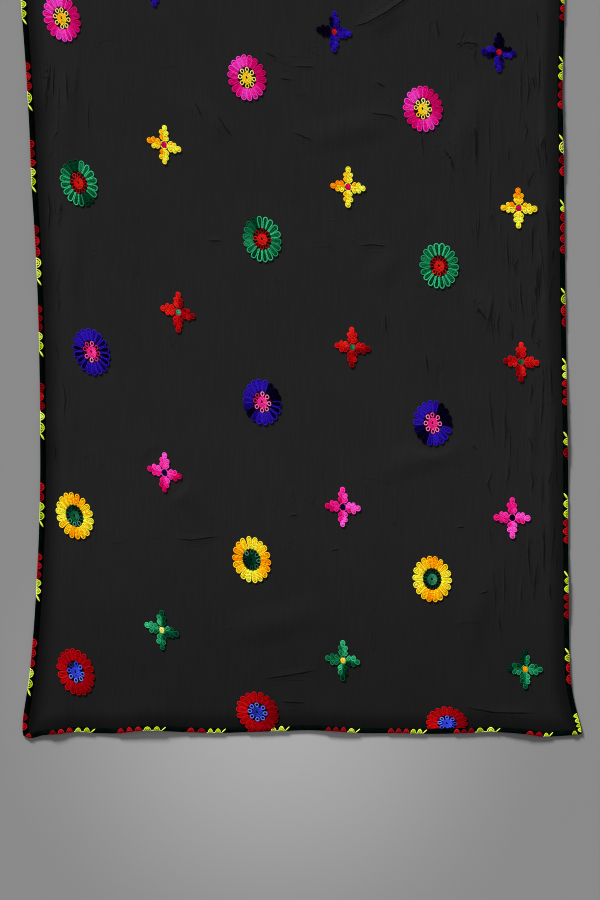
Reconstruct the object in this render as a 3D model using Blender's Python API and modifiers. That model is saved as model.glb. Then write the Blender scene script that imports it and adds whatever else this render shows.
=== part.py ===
# Dupatta laid flat: one plain cloth panel with couched cord flowers and four-armed
# crosses in rows, and a narrow lace binding folded round all four edges.
# Sizes are in millimetres and become metres when a mesh is made. X runs across the
# cloth, Y along it from the near hem to the far hem, and Z up from the surface.
from collections import namedtuple
from math import ceil, cos, pi, radians, sin, sqrt

import bmesh
import bpy
import numpy as np
from mathutils import Vector

MM = 0.001

# Driving sizes of the cloth and its binding
LENGTH = 2250
WALL = 1.0
SEAM_GAP = 0.3
BINDING_WIDTH = 8.8
BINDING_WALL = 1.0
CORNER_INSET = 1.5
RAMP_START, RAMP_END = 9.6, 20.0

# The panel's edge lies inside the fold of the binding, lifted over its lower leaf
EDGE_INSET = BINDING_WALL + SEAM_GAP
EDGE_RISE = BINDING_WALL + SEAM_GAP
BINDING_HEIGHT = 2 * BINDING_WALL + 2 * SEAM_GAP + WALL

# The cut's four edges as they lie, in mm from the middle line and from the near hem
Edge = namedtuple("Edge", "along across")
LEFT_EDGE = [
    Edge(0, -478.5), Edge(25, -478.0), Edge(60, -473.0), Edge(100, -467.0),
    Edge(150, -462.0), Edge(200, -458.0), Edge(260, -454.5), Edge(330, -451.0),
    Edge(400, -448.8), Edge(500, -448.0), Edge(620, -449.3), Edge(700, -451.0),
    Edge(800, -454.5), Edge(880, -459.0), Edge(950, -463.5), Edge(1020, -466.0),
    Edge(1090, -469.3), Edge(1150, -473.3), Edge(1200, -477.0), Edge(1258, -481.5),
    Edge(1340, -482.0), Edge(1450, -476.0), Edge(1600, -467.0), Edge(1750, -460.0),
    Edge(1900, -457.0), Edge(2050, -462.0), Edge(2150, -470.0), Edge(2250, -479.0),
]
RIGHT_EDGE = [
    Edge(0, 480.0), Edge(12, 478.5), Edge(26, 474.5), Edge(42, 470.0),
    Edge(65, 464.5), Edge(95, 460.0), Edge(135, 458.0), Edge(200, 456.8),
    Edge(300, 455.8), Edge(450, 455.3), Edge(560, 454.0), Edge(680, 452.0),
    Edge(800, 450.2), Edge(950, 448.5), Edge(1040, 446.8), Edge(1100, 445.8),
    Edge(1160, 447.5), Edge(1258, 449.5), Edge(1400, 452.0), Edge(1550, 456.0),
    Edge(1700, 455.0), Edge(1850, 453.0), Edge(2000, 456.0), Edge(2110, 462.0),
    Edge(2190, 470.0), Edge(2250, 479.0),
]
NEAR_HEM = [
    Edge(-480, -2.5), Edge(-462, -5.0), Edge(-444, -0.5), Edge(-416, 2.0),
    Edge(-390, 5.0), Edge(-349, 3.2), Edge(-315, 3.0), Edge(-270, 8.0),
    Edge(-236, 7.0), Edge(-202, 5.2), Edge(-144, 3.5), Edge(-92, 5.0),
    Edge(-31, 6.8), Edge(10, 8.3), Edge(55, 6.5), Edge(100, 3.4),
    Edge(164, 3.3), Edge(226, 2.0), Edge(277, 3.2), Edge(312, 5.0),
    Edge(345, 4.5), Edge(380, 2.0), Edge(414, -3.0), Edge(442, -1.5),
    Edge(480, 0.5),
]
FAR_HEM = [
    Edge(-480, 2252), Edge(-440, 2254), Edge(-380, 2247), Edge(-300, 2244),
    Edge(-200, 2248), Edge(-130, 2249), Edge(-60, 2249), Edge(80, 2243),
    Edge(170, 2247), Edge(260, 2252), Edge(330, 2248), Edge(400, 2253),
    Edge(450, 2255), Edge(480, 2253),
]

# Grid lines of the panel: each band's end, in mm from its first edge, and its cells
Band = namedtuple("Band", "end cells")
EDGE_LINES = [0.0, RAMP_START, RAMP_END]
COLUMN_BANDS = [Band(60, 2), Band(90, 1), Band(760, 24), Band(892, 7)]
ROW_BANDS = [Band(52, 1), Band(136, 2), Band(240, 2), Band(2010, 32), Band(2198, 3)]
PANEL_WIDTH = 925

# Low waves in which the bound edges lift: where along the edge, half their length,
# how high, and how far in they fade out
Wave = namedtuple("Wave", "edge at reach height fade")
WAVES = [
    Wave("near", -425, 34, 2.5, 45), Wave("near", -262, 92, 5.0, 100),
    Wave("near", 60, 62, 3.5, 72), Wave("near", 376, 54, 3.0, 56),
    Wave("far", -300, 110, 4.5, 76), Wave("far", 60, 66, 3.5, 90),
    Wave("far", 362, 62, 3.5, 80),
    Wave("left", 515, 56, 2.5, 45), Wave("left", 800, 56, 2.0, 45),
    Wave("left", 1086, 56, 3.0, 50), Wave("left", 1640, 60, 2.5, 45),
    Wave("right", 250, 90, 2.5, 40), Wave("right", 520, 110, 3.0, 40),
    Wave("right", 1020, 120, 3.0, 40), Wave("right", 1560, 110, 2.5, 40),
]

# The largest soft ridges in the cloth, each from one end to the other
Fold = namedtuple("Fold", "x0 y0 x1 y1 height width")
FOLDS = [
    Fold(427, 250, 432, 590, 2.2, 30), Fold(424, 640, 420, 930, 2.6, 34),
    Fold(416, 950, 424, 1290, 2.2, 30), Fold(392, 430, 396, 590, 1.6, 28),
    Fold(404, 1560, 420, 1900, 2.4, 32), Fold(412, 1930, 420, 2160, 2.0, 32),
    Fold(-404, 990, -398, 1170, 2.4, 50), Fold(-392, 720, -400, 890, 2.0, 50),
    Fold(-396, 440, -404, 600, 1.6, 50), Fold(-410, 1560, -400, 1720, 2.2, 50),
    Fold(176, 1262, 100, 1196, 3.0, 70), Fold(262, 960, 312, 1130, 2.6, 72),
    Fold(-205, 1110, -120, 1000, 2.6, 70), Fold(-20, 1010, 170, 1060, 2.2, 74),
    Fold(288, 780, 330, 690, 2.4, 70), Fold(120, 760, 160, 840, 2.0, 70),
    Fold(-300, 520, -130, 340, 2.2, 76), Fold(120, 450, 290, 500, 2.4, 74),
    Fold(-150, 170, 60, 215, 2.6, 80), Fold(270, 120, 330, 320, 2.2, 72),
    Fold(-330, 1380, -140, 1300, 2.8, 76), Fold(90, 1330, 180, 1500, 2.6, 74),
    Fold(-300, 1680, -110, 1760, 2.4, 76), Fold(260, 1750, 330, 1900, 2.4, 72),
    Fold(110, 1850, 200, 2000, 2.6, 74), Fold(-330, 1960, -150, 2090, 2.6, 76),
]

# Where the motifs lie, by column from the left and by row from the near hem. Past
# the rows listed here the same repeat goes on up to the far hem.
Place = namedtuple("Place", "x y")
REPEAT = 276
FLOWER_COLUMNS = [
    [Place(-387, 108), Place(-389, 375), Place(-360, 656), Place(-382, 945), Place(-411, 1227)],
    [Place(-76, 39.5), Place(-86, 300), Place(-68, 570), Place(-68, 849), Place(-94, 1125)],
    [Place(248.6, 20.4), Place(223, 267), Place(224, 534), Place(235, 803), Place(207, 1072)],
]
CROSS_COLUMNS = [
    [Place(-240, 180), Place(-235, 449), Place(-212, 724), Place(-236, 1010), Place(-253, 1281)],
    [Place(70, 128), Place(70, 390), Place(86, 664), Place(79, 938), Place(55, 1204)],
    [Place(382, 113), Place(360, 372), Place(375, 639), Place(371, 902), Place(337, 1169)],
]
FURTHER_X = {"flower": [-390, -82, 226], "cross": [-238, 70, 362]}

# How far the weft runs down to the right, in degrees, by place across the cloth
Tilt = namedtuple("Tilt", "across degrees")
WEFT_TILT = [
    Tilt(-480, 17.0), Tilt(-390, 16.5), Tilt(-240, 15.5), Tilt(-80, 8.5),
    Tilt(70, 6.5), Tilt(230, 3.5), Tilt(375, 2.5), Tilt(480, 2.0),
]

# Sizes of the motifs
MOTIF_CLEARANCE = 0.4
PETALS = 18
FLOWER_HALF_WIDTH, FLOWER_HALF_LENGTH = 34.0, 40.0
FLOWER_CUT = BINDING_WIDTH + 0.5
CROSS_HALF_WIDTH, CROSS_HALF_LENGTH = 30.0, 34.0

# The two flowers at the near hem were worked wider and lower than the others
Worked = namedtuple("Worked", "half_width half_length")
HEM_FLOWERS = {"flower_2_1": Worked(37.9, 34.8), "flower_3_1": Worked(36.3, 28.6)}

# Rings of a flower, as shares of its half sizes, and how high they stand
Ring = namedtuple("Ring", "share height")
PETAL_FOOT = Ring(0.90, 0.0)
PETAL_VALLEY = Ring(0.93, 0.9)
PETAL_TIP = Ring(1.00, 1.1)
PETAL_ROOT = Ring(0.48, 1.6)
GROOVE = Ring(0.42, 0.7)
HEART_EDGE = Ring(0.36, 1.7)

# One side of a cross's arm, as shares of its length: out along the arm, and to its
# side. A notch parts the pair of side loops from the tip loop, and the valley
# between two arms lies this far out.
Step = namedtuple("Step", "out aside")
CROSS_VALLEY = 0.26
CROSS_SIDE = [Step(0.50, 0.33), Step(0.68, 0.20)]
CROSS_TIP = Step(0.99, 0.11)
CROSS_HEIGHT = 1.4
CROSS_HEART_SHARE, CROSS_HEART_HEIGHT = 0.20, 2.0

# Thread and cloth colours, as linear red, green and blue
COLOURS = {
    "cloth": (0.014, 0.014, 0.015), "binding": (0.010, 0.030, 0.018),
    "red": (0.60, 0.010, 0.010), "yellow": (0.85, 0.55, 0.03),
    "blue": (0.035, 0.012, 0.42), "green": (0.010, 0.16, 0.075),
    "magenta": (0.62, 0.020, 0.22), "pink": (0.78, 0.020, 0.30),
}
FLOWER_COLOURS = ["red", "yellow", "blue", "green", "magenta"]
CROSS_COLOURS = ["green", "pink", "red", "yellow", "blue"]
EDGE_NAMES = {
    "left": "binding_left", "right": "binding_right",
    "near": "binding_near_hem", "far": "binding_far_hem",
}


def clear_scene():
    for old in list(bpy.data.objects):
        bpy.data.objects.remove(old, do_unlink=True)


def thread_material(name):
    """A matt woven or stitched surface of one colour."""
    material = bpy.data.materials.new(name)
    material.use_nodes = True
    shader = material.node_tree.nodes["Principled BSDF"]
    shader.inputs["Base Color"].default_value = (*COLOURS[name], 1.0)
    shader.inputs["Roughness"].default_value = 0.9 if name == "cloth" else 0.55
    shader.inputs["Metallic"].default_value = 0.0
    return material


def smooth_curve(table, at):
    """A cubic through the table's points, each slope taken from its neighbours."""
    knots, values = np.array(table, float).T
    slopes = np.gradient(values, knots)
    at = np.clip(at, knots[0], knots[-1])
    i = np.clip(np.searchsorted(knots, at) - 1, 0, len(knots) - 2)
    span = knots[i + 1] - knots[i]
    t = (at - knots[i]) / span
    ends = values[i] * (1 + 2 * t) * (1 - t) ** 2 + values[i + 1] * t**2 * (3 - 2 * t)
    return ends + span * (slopes[i] * t * (1 - t) ** 2 - slopes[i + 1] * t**2 * (1 - t))


def grid_lines(bands, whole):
    """Distances of the grid lines from one edge, with both edges' close lines."""
    lines = list(EDGE_LINES)
    for band in bands:
        start = lines[-1]
        steps = np.arange(1, band.cells + 1) / band.cells
        lines.extend(start + (band.end - start) * steps)
    return np.array(lines + [whole - line for line in reversed(EDGE_LINES)])


def hump(distance, reach):
    """1 at the middle, falling smoothly to 0 at the reach."""
    return np.cos(np.clip(np.abs(distance) / reach, 0, 1) * pi / 2) ** 2


def segment_normals(path, side):
    """The level unit vector to the given side of each segment of a path."""
    steps = np.diff(path, axis=0)
    steps /= np.linalg.norm(steps, axis=1, keepdims=True)
    return side * np.column_stack([-steps[:, 1], steps[:, 0]])


def corner_step(first, second):
    """The step from a corner that lies 1 mm inside both of its sides."""
    return (first + second) / (1 + (first * second).sum(axis=-1, keepdims=True))


def lay_out_edges(columns, rows):
    """The outline's four paths at the grid lines, and the inward step at each point."""
    u, v = columns / PANEL_WIDTH, rows / LENGTH
    corner = {}
    for end, hem, along in (("near", NEAR_HEM, 0), ("far", FAR_HEM, LENGTH)):
        for side, edge in (("left", LEFT_EDGE), ("right", RIGHT_EDGE)):
            x = smooth_curve(edge, along)
            corner[end, side] = np.array([x, smooth_curve(hem, x)])
    paths = {}
    for end, hem in (("near", NEAR_HEM), ("far", FAR_HEM)):
        x = (1 - u) * corner[end, "left"][0] + u * corner[end, "right"][0]
        paths[end] = np.column_stack([x, smooth_curve(hem, x)])
    for side, edge in (("left", LEFT_EDGE), ("right", RIGHT_EDGE)):
        y = (1 - v) * corner["near", side][1] + v * corner["far", side][1]
        paths[side] = np.column_stack([smooth_curve(edge, y), y])
    for end, last in (("near", 1), ("far", -1)):
        for side, across in (("left", 1), ("right", -1)):
            rounded = corner[end, side] + CORNER_INSET * np.array([across, last])
            paths[end][0 if side == "left" else -1] = rounded
            paths[side][0 if end == "near" else -1] = rounded
    normals = {
        name: segment_normals(paths[name], side)
        for name, side in (("left", -1), ("right", 1), ("near", 1), ("far", -1))
    }
    steps = {}
    for name, normal in normals.items():
        inner = corner_step(normal[:-1], normal[1:])
        steps[name] = np.vstack([normal[:1], inner, normal[-1:]])
    for end, at in (("near", 0), ("far", -1)):
        for side, other in (("left", 0), ("right", -1)):
            shared = corner_step(normals[end][other], normals[side][at])
            steps[end][other] = shared
            steps[side][at] = shared
    return paths, steps


def panel_plan(paths, steps, columns, rows):
    """The panel's grid in plan: its four inset edges, blended across the middle."""
    inset = {name: paths[name] + EDGE_INSET * steps[name] for name in paths}
    u = ((columns - columns[0]) / (columns[-1] - columns[0]))[None, :, None]
    v = ((rows - rows[0]) / (rows[-1] - rows[0]))[:, None, None]
    across = (1 - u) * inset["left"][:, None] + u * inset["right"][:, None]
    along = (1 - v) * inset["near"][None] + v * inset["far"][None]
    ends = [
        (1 - u) * inset[name][0] + u * inset[name][-1] for name in ("near", "far")
    ]
    return across + along - (1 - v) * ends[0] - v * ends[1]


def edge_waves(paths):
    """How far each point of the bound edges lifts off the surface."""
    lifts = {name: np.zeros(len(path)) for name, path in paths.items()}
    for wave in WAVES:
        along = paths[wave.edge][:, 0 if wave.edge in ("near", "far") else 1]
        lifts[wave.edge] += wave.height * hump(along - wave.at, wave.reach)
    return lifts


def panel_waves(paths, depth):
    """The edge waves carried into the panel, where they fade out."""
    total = 0
    for wave in WAVES:
        hem = wave.edge in ("near", "far")
        along = paths[wave.edge][:, 0 if hem else 1]
        height = wave.height * hump(along - wave.at, wave.reach)
        fade = hump(np.maximum(depth[wave.edge] - RAMP_START, 0), wave.fade)
        total = total + (height[None, :] * fade if hem else height[:, None] * fade)
    return total


def fold_relief(plan):
    """The soft ridges of the cloth, highest halfway along and gone at their ends."""
    relief = np.zeros(plan.shape[:2])
    for fold in FOLDS:
        start, end = np.array(fold[0:2]), np.array(fold[2:4])
        run = end - start
        share = ((plan - start) @ run) / (run @ run)
        nearest = start + np.clip(share, 0, 1)[..., None] * run
        beside = np.linalg.norm(plan - nearest, axis=2)
        taper = hump(2 * np.clip(share, 0, 1) - 1, 1.15)
        relief = np.maximum(relief, fold.height * taper * hump(beside, fold.width / 2))
    return relief


def motif_places():
    """Every motif with its kind, name, colour and place, column by column."""
    Motif = namedtuple("Motif", "kind name colour x y")
    found = []
    for kind, tables, colours in (
        ("flower", FLOWER_COLUMNS, FLOWER_COLOURS), ("cross", CROSS_COLUMNS, CROSS_COLOURS)
    ):
        reach = FLOWER_HALF_LENGTH if kind == "flower" else 0
        for column, places in enumerate(tables):
            last = places[-1].y
            more = ceil((LENGTH - BINDING_WIDTH + reach / 2 - last) / REPEAT)
            further = [Place(FURTHER_X[kind][column], last + REPEAT * n) for n in range(1, more)]
            for row, place in enumerate(places + further):
                name = f"{kind}_{column + 1}_{row + 1}"
                found.append(Motif(kind, name, colours[row % len(colours)], *place))
    return found


def flatten_under(motifs, plan, relief):
    """Keeps the cloth flat in each grid cell that a motif lies on, since its couched
    cord stiffens the cloth."""
    half_sizes = {
        "flower": (FLOWER_HALF_WIDTH, FLOWER_HALF_LENGTH),
        "cross": (CROSS_HALF_WIDTH, CROSS_HALF_LENGTH),
    }
    for motif in motifs:
        off = np.abs(plan - (motif.x, motif.y))
        near = (off < half_sizes[motif.kind]).all(axis=2)
        for axis in (0, 1):
            near |= np.roll(near, 1, axis) | np.roll(near, -1, axis)
        relief[near] = 0.0
    return relief


def join_to_collection(name, mesh, material, collection):
    part = bpy.data.objects.new(name, mesh)
    mesh.materials.append(material)
    collection.objects.link(part)
    return part


def mesh_from(name, points, faces):
    """A mesh in metres from points in millimetres, its faces turned outwards."""
    mesh = bpy.data.meshes.new(name)
    mesh.from_pydata([Vector(point) * MM for point in points], [], faces)
    shape = bmesh.new()
    shape.from_mesh(mesh)
    bmesh.ops.recalc_face_normals(shape, faces=shape.faces)
    shape.to_mesh(mesh)
    shape.free()
    return mesh


def make_panel(plan, lift, material, collection):
    """The cloth as an open grid at its underside, thickened upwards to its wall."""
    rows, columns = lift.shape
    points = np.dstack([plan, lift]).reshape(-1, 3)
    corner = (np.arange(rows - 1)[:, None] * columns + np.arange(columns - 1)).ravel()
    faces = np.column_stack([corner, corner + 1, corner + columns + 1, corner + columns])
    mesh = bpy.data.meshes.new("panel")
    mesh.from_pydata([Vector(point) * MM for point in points], [], faces.tolist())
    panel = join_to_collection("panel", mesh, material, collection)
    wall = panel.modifiers.new("wall", "SOLIDIFY")
    wall.thickness = WALL * MM
    wall.offset = 1.0
    return panel


def binding_profile():
    """The folded strip's section: how far in from the edge, and how high."""
    width, wall, height = BINDING_WIDTH, BINDING_WALL, BINDING_HEIGHT
    fold = 0.8
    return [
        (width, 0), (0, 0), (0, height - fold), (fold, height), (width, height),
        (width, height - wall), (wall, height - wall), (wall, wall), (width, wall),
    ]


def make_binding(edge, path, step, lift, material, collection):
    """One side's strip: its folded section carried along the edge, mitred at the ends."""
    profile = np.array(binding_profile())
    count, around = len(path), len(profile)
    sections = np.zeros((count, around, 3))
    sections[:, :, :2] = path[:, None] + step[:, None] * profile[None, :, :1]
    sections[:, :, 2] = lift[:, None] + profile[None, :, 1]
    back_off = SEAM_GAP / 2 * sqrt(2)
    for end, neighbour in ((0, 1), (-1, -2)):
        run = path[neighbour] - path[end]
        sections[end, :, :2] += back_off * run / np.linalg.norm(run)
    faces = []
    for s in range(count - 1):
        for k in range(around):
            after = (k + 1) % around
            here, there = s * around, (s + 1) * around
            faces.append([here + k, here + after, there + after, there + k])
    last = (count - 1) * around
    faces += [list(range(around)), [last + k for k in reversed(range(around))]]
    mesh = mesh_from(EDGE_NAMES[edge], sections.reshape(-1, 3), faces)
    return join_to_collection(EDGE_NAMES[edge], mesh, material, collection)


def lay_on_cloth(points, motif, hems):
    """Turns a motif's points, given along the weft and the warp, to its place and puts
    them on the cloth, which ramps up towards the hems."""
    tilt = radians(float(smooth_curve(WEFT_TILT, motif.x)))
    weft, warp, height = np.array(points, float).T
    x = motif.x + weft * cos(tilt)
    y = motif.y + warp - weft * sin(tilt)
    depth = np.minimum(y - np.interp(x, *hems["near"].T), np.interp(x, *hems["far"].T) - y)
    ramp = EDGE_RISE * np.clip((RAMP_END - depth) / (RAMP_END - RAMP_START), 0, 1)
    return np.column_stack([x, y, height + WALL + MOTIF_CLEARANCE + ramp])


def ellipse(ring, count, shift=0.0):
    """Points of a flower's ring, clockwise from the top, shifted by a share of a step."""
    turn = 2 * pi * (np.arange(count) + shift) / count
    x = FLOWER_HALF_WIDTH * ring.share * np.sin(turn)
    y = FLOWER_HALF_LENGTH * ring.share * np.cos(turn)
    return np.column_stack([x, y, np.full(count, ring.height)])


def flower_shape():
    """Points and faces of a flower: a ring of petals, a groove and a raised heart."""
    foot = ellipse(PETAL_FOOT, PETALS)
    valley = ellipse(PETAL_VALLEY, PETALS)
    tip = ellipse(PETAL_TIP, PETALS, 0.5)
    root = ellipse(PETAL_ROOT, PETALS)
    groove = ellipse(GROOVE, PETALS // 2)
    heart = ellipse(HEART_EDGE, PETALS // 2)
    rings = [foot, valley, tip, root, groove, heart]
    first = np.cumsum([0] + [len(ring) for ring in rings])
    at_foot, at_valley, at_tip, at_root, at_groove, at_heart = first[:6]
    faces = [list(range(PETALS))]
    for k in range(PETALS):
        n = (k + 1) % PETALS
        faces.append([at_foot + k, at_foot + n, at_tip + k])
        faces.append([at_foot + k, at_tip + k, at_valley + k])
        faces.append([at_foot + n, at_valley + n, at_tip + k])
        faces.append([at_valley + k, at_tip + k, at_root + k])
        faces.append([at_tip + k, at_valley + n, at_root + n])
        faces.append([at_tip + k, at_root + n, at_root + k])
    for k in range(PETALS // 2):
        n = (k + 1) % (PETALS // 2)
        mid, end = 2 * k + 1, (2 * k + 2) % PETALS
        faces.append([at_root + 2 * k, at_root + mid, at_groove + k])
        faces.append([at_root + mid, at_groove + n, at_groove + k])
        faces.append([at_root + mid, at_root + end, at_groove + n])
        faces.append([at_groove + k, at_groove + n, at_heart + n, at_heart + k])
    faces.append([at_heart + k for k in range(PETALS // 2)])
    return np.vstack(rings), faces


def cross_shape():
    """Points and faces of a cross: four arms of paired loops round a raised heart."""
    side = [(step.out, -step.aside) for step in CROSS_SIDE] + [(CROSS_TIP.out, -CROSS_TIP.aside)]
    arm = side + [(out, -aside) for out, aside in reversed(side)]
    outline = []
    heart = []
    for quarter in range(4):
        turn = quarter * pi / 2
        valley_turn = turn - pi / 4
        outline.append((CROSS_VALLEY * cos(valley_turn), CROSS_VALLEY * sin(valley_turn)))
        for out, aside in arm:
            x = out * cos(turn) - aside * sin(turn)
            y = out * sin(turn) + aside * cos(turn)
            outline.append((x, y))
        for part_turn in (valley_turn, turn):
            heart.append((CROSS_HEART_SHARE * cos(part_turn), CROSS_HEART_SHARE * sin(part_turn)))
    size = np.array([CROSS_HALF_WIDTH, CROSS_HALF_LENGTH])
    outline, heart = np.array(outline) * size, np.array(heart) * size
    layers = [(outline, 0), (outline, CROSS_HEIGHT), (heart, CROSS_HEIGHT), (heart, CROSS_HEART_HEIGHT)]
    points = np.vstack([np.column_stack([ring, np.full(len(ring), z)]) for ring, z in layers])
    count, per_arm = len(outline), len(arm) + 1
    faces = [list(range(count))]
    faces += [[k, (k + 1) % count, count + (k + 1) % count, count + k] for k in range(count)]
    at_low, at_high = 2 * count, 2 * count + len(heart)
    for quarter in range(4):
        rim = [count + (quarter * per_arm + k) % count for k in range(per_arm + 1)]
        inner = [at_low + (quarter * 2 + k) % len(heart) for k in (2, 1, 0)]
        faces.append(rim + inner)
    for k in range(len(heart)):
        n = (k + 1) % len(heart)
        faces.append([at_low + k, at_low + n, at_high + n, at_high + k])
    faces.append([at_high + k for k in range(len(heart))])
    return points, faces


def cut_at_hem(mesh, motif, edge, path):
    """Cuts a motif off where the binding starts and closes the cut."""
    across = motif.x + np.array([-FLOWER_HALF_WIDTH, FLOWER_HALF_WIDTH])
    ends = np.column_stack([across, np.interp(across, *path.T)])
    run = ends[1] - ends[0]
    outward = np.array([run[1], -run[0]]) / np.linalg.norm(run) * (1 if edge == "near" else -1)
    point = ends.mean(axis=0) - outward * FLOWER_CUT
    shape = bmesh.new()
    shape.from_mesh(mesh)
    cut = bmesh.ops.bisect_plane(
        shape, geom=shape.verts[:] + shape.edges[:] + shape.faces[:], dist=1e-6,
        plane_co=(*(point * MM), 0), plane_no=(*outward, 0), clear_outer=True,
    )
    rim = [item for item in cut["geom_cut"] if isinstance(item, bmesh.types.BMEdge)]
    if rim:
        bmesh.ops.contextual_create(shape, geom=rim)
    bmesh.ops.recalc_face_normals(shape, faces=shape.faces)
    shape.to_mesh(mesh)
    shape.free()


def make_motif(motif, shape, hems, material, collection):
    points, faces = shape
    if motif.name in HEM_FLOWERS:
        worked = HEM_FLOWERS[motif.name]
        across, along = worked.half_width / FLOWER_HALF_WIDTH, worked.half_length / FLOWER_HALF_LENGTH
        points = points * np.array([across, along, 1.0])
    mesh = mesh_from(motif.name, lay_on_cloth(points, motif, hems), faces)
    for edge in ("near", "far"):
        limit = np.interp(motif.x, *hems[edge].T)
        if abs(limit - motif.y) < FLOWER_HALF_LENGTH + FLOWER_CUT:
            cut_at_hem(mesh, motif, edge, hems[edge])
    return join_to_collection(motif.name, mesh, material, collection)


def centre_on_outline(objects, paths):
    """Moves every mesh so that the outline's middle lies over the origin."""
    outline = np.vstack(list(paths.values()))
    middle = (outline.min(axis=0) + outline.max(axis=0)) / 2
    for part in objects:
        for vertex in part.data.vertices:
            vertex.co.x -= middle[0] * MM
            vertex.co.y -= middle[1] * MM


def build():
    clear_scene()
    collection = bpy.data.collections.new("dupatta")
    bpy.context.scene.collection.children.link(collection)
    columns, rows = grid_lines(COLUMN_BANDS, PANEL_WIDTH), grid_lines(ROW_BANDS, LENGTH)
    paths, steps = lay_out_edges(columns, rows)
    plan = panel_plan(paths, steps, columns, rows)
    depth = {
        "left": columns[None, :], "right": (PANEL_WIDTH - columns)[None, :],
        "near": rows[:, None], "far": (LENGTH - rows)[:, None],
    }
    inside = np.minimum(np.minimum(depth["left"], depth["right"]),
                        np.minimum(depth["near"], depth["far"]))
    ramp = EDGE_RISE * np.clip((RAMP_END - inside) / (RAMP_END - RAMP_START), 0, 1)
    motifs = motif_places()
    relief = flatten_under(motifs, plan, fold_relief(plan))
    relief[inside <= RAMP_END] = 0.0
    lift = ramp + panel_waves(paths, depth) + relief

    parts = [make_panel(plan, lift, thread_material("cloth"), collection)]
    lifts = edge_waves(paths)
    for edge in EDGE_NAMES:
        material = thread_material("binding")
        parts.append(make_binding(edge, paths[edge], steps[edge], lifts[edge], material, collection))
    shapes = {"flower": flower_shape(), "cross": cross_shape()}
    for motif in motifs:
        material = thread_material(motif.colour)
        parts.append(make_motif(motif, shapes[motif.kind], paths, material, collection))
    centre_on_outline(parts, paths)


build()
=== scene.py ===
# %% [markdown]
# # A black dupatta with corded flowers, laid flat
# A dupatta is a long veil of thin cloth. This one is plain black. Rows of flowers and
# four-armed crosses are drawn on it in thick shaded thread, and a narrow lace is folded
# round its edges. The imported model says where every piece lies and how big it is. This
# script gives each piece its look, and reads nothing but that model.

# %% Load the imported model
from collections import namedtuple
from math import cos, pi, radians, sin, tau

import bmesh
import bpy
import numpy as np
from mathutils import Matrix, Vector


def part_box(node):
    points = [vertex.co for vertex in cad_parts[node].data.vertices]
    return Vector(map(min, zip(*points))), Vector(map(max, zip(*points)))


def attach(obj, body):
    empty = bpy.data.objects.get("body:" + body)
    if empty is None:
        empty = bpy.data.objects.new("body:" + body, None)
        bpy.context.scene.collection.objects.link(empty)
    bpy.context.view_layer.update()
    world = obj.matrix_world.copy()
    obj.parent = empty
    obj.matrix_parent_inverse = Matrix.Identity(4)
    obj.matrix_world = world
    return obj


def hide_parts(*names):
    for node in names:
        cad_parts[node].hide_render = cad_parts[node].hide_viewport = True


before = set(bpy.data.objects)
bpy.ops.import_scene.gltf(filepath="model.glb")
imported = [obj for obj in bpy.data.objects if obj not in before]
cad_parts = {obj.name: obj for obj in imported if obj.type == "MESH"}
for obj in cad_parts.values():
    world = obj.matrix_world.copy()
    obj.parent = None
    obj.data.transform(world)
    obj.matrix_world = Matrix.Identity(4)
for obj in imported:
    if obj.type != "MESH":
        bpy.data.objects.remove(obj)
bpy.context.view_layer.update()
MM = 0.001

# %% [markdown]
# ## The cloth's outline
# A cut of cloth never lies quite straight. Each edge is written as a few points, in mm
# from the middle line and from the near hem, and a smooth cubic runs through them. The
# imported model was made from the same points, so the looks meet the solids.

# %% Sizes and edges of the cut, in mm
LENGTH, PANEL_WIDTH = 2250, 925
WALL = 1.0
EDGE_INSET = EDGE_RISE = 1.3
CORNER_INSET = 1.5
RAMP_START, RAMP_END = 9.6, 20.0
BINDING_WIDTH, BINDING_HEIGHT = 8.8, 3.6

# Each point of an edge: how far along the edge, and how far across it lies
LEFT_EDGE = [
    (0, -478.5), (25, -478.0), (60, -473.0), (100, -467.0), (150, -462.0), (200, -458.0),
    (260, -454.5), (330, -451.0), (400, -448.8), (500, -448.0), (620, -449.3), (700, -451.0),
    (800, -454.5), (880, -459.0), (950, -463.5), (1020, -466.0), (1090, -469.3), (1150, -473.3),
    (1200, -477.0), (1258, -481.5), (1340, -482.0), (1450, -476.0), (1600, -467.0), (1750, -460.0),
    (1900, -457.0), (2050, -462.0), (2150, -470.0), (2250, -479.0),
]
RIGHT_EDGE = [
    (0, 480.0), (12, 478.5), (26, 474.5), (42, 470.0), (65, 464.5), (95, 460.0), (135, 458.0),
    (200, 456.8), (300, 455.8), (450, 455.3), (560, 454.0), (680, 452.0), (800, 450.2),
    (950, 448.5), (1040, 446.8), (1100, 445.8), (1160, 447.5), (1258, 449.5), (1400, 452.0),
    (1550, 456.0), (1700, 455.0), (1850, 453.0), (2000, 456.0), (2110, 462.0), (2190, 470.0),
    (2250, 479.0),
]
NEAR_HEM = [
    (-480, -2.5), (-462, -5.0), (-444, -0.5), (-416, 2.0), (-390, 5.0), (-349, 3.2), (-315, 3.0),
    (-270, 8.0), (-236, 7.0), (-202, 5.2), (-144, 3.5), (-92, 5.0), (-31, 6.8), (10, 8.3),
    (55, 6.5), (100, 3.4), (164, 3.3), (226, 2.0), (277, 3.2), (312, 5.0), (345, 4.5), (380, 2.0),
    (414, -3.0), (442, -1.5), (480, 0.5),
]
FAR_HEM = [
    (-480, 2252), (-440, 2254), (-380, 2247), (-300, 2244), (-200, 2248), (-130, 2249), (-60, 2249),
    (80, 2243), (170, 2247), (260, 2252), (330, 2248), (400, 2253), (450, 2255), (480, 2253),
]

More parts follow.
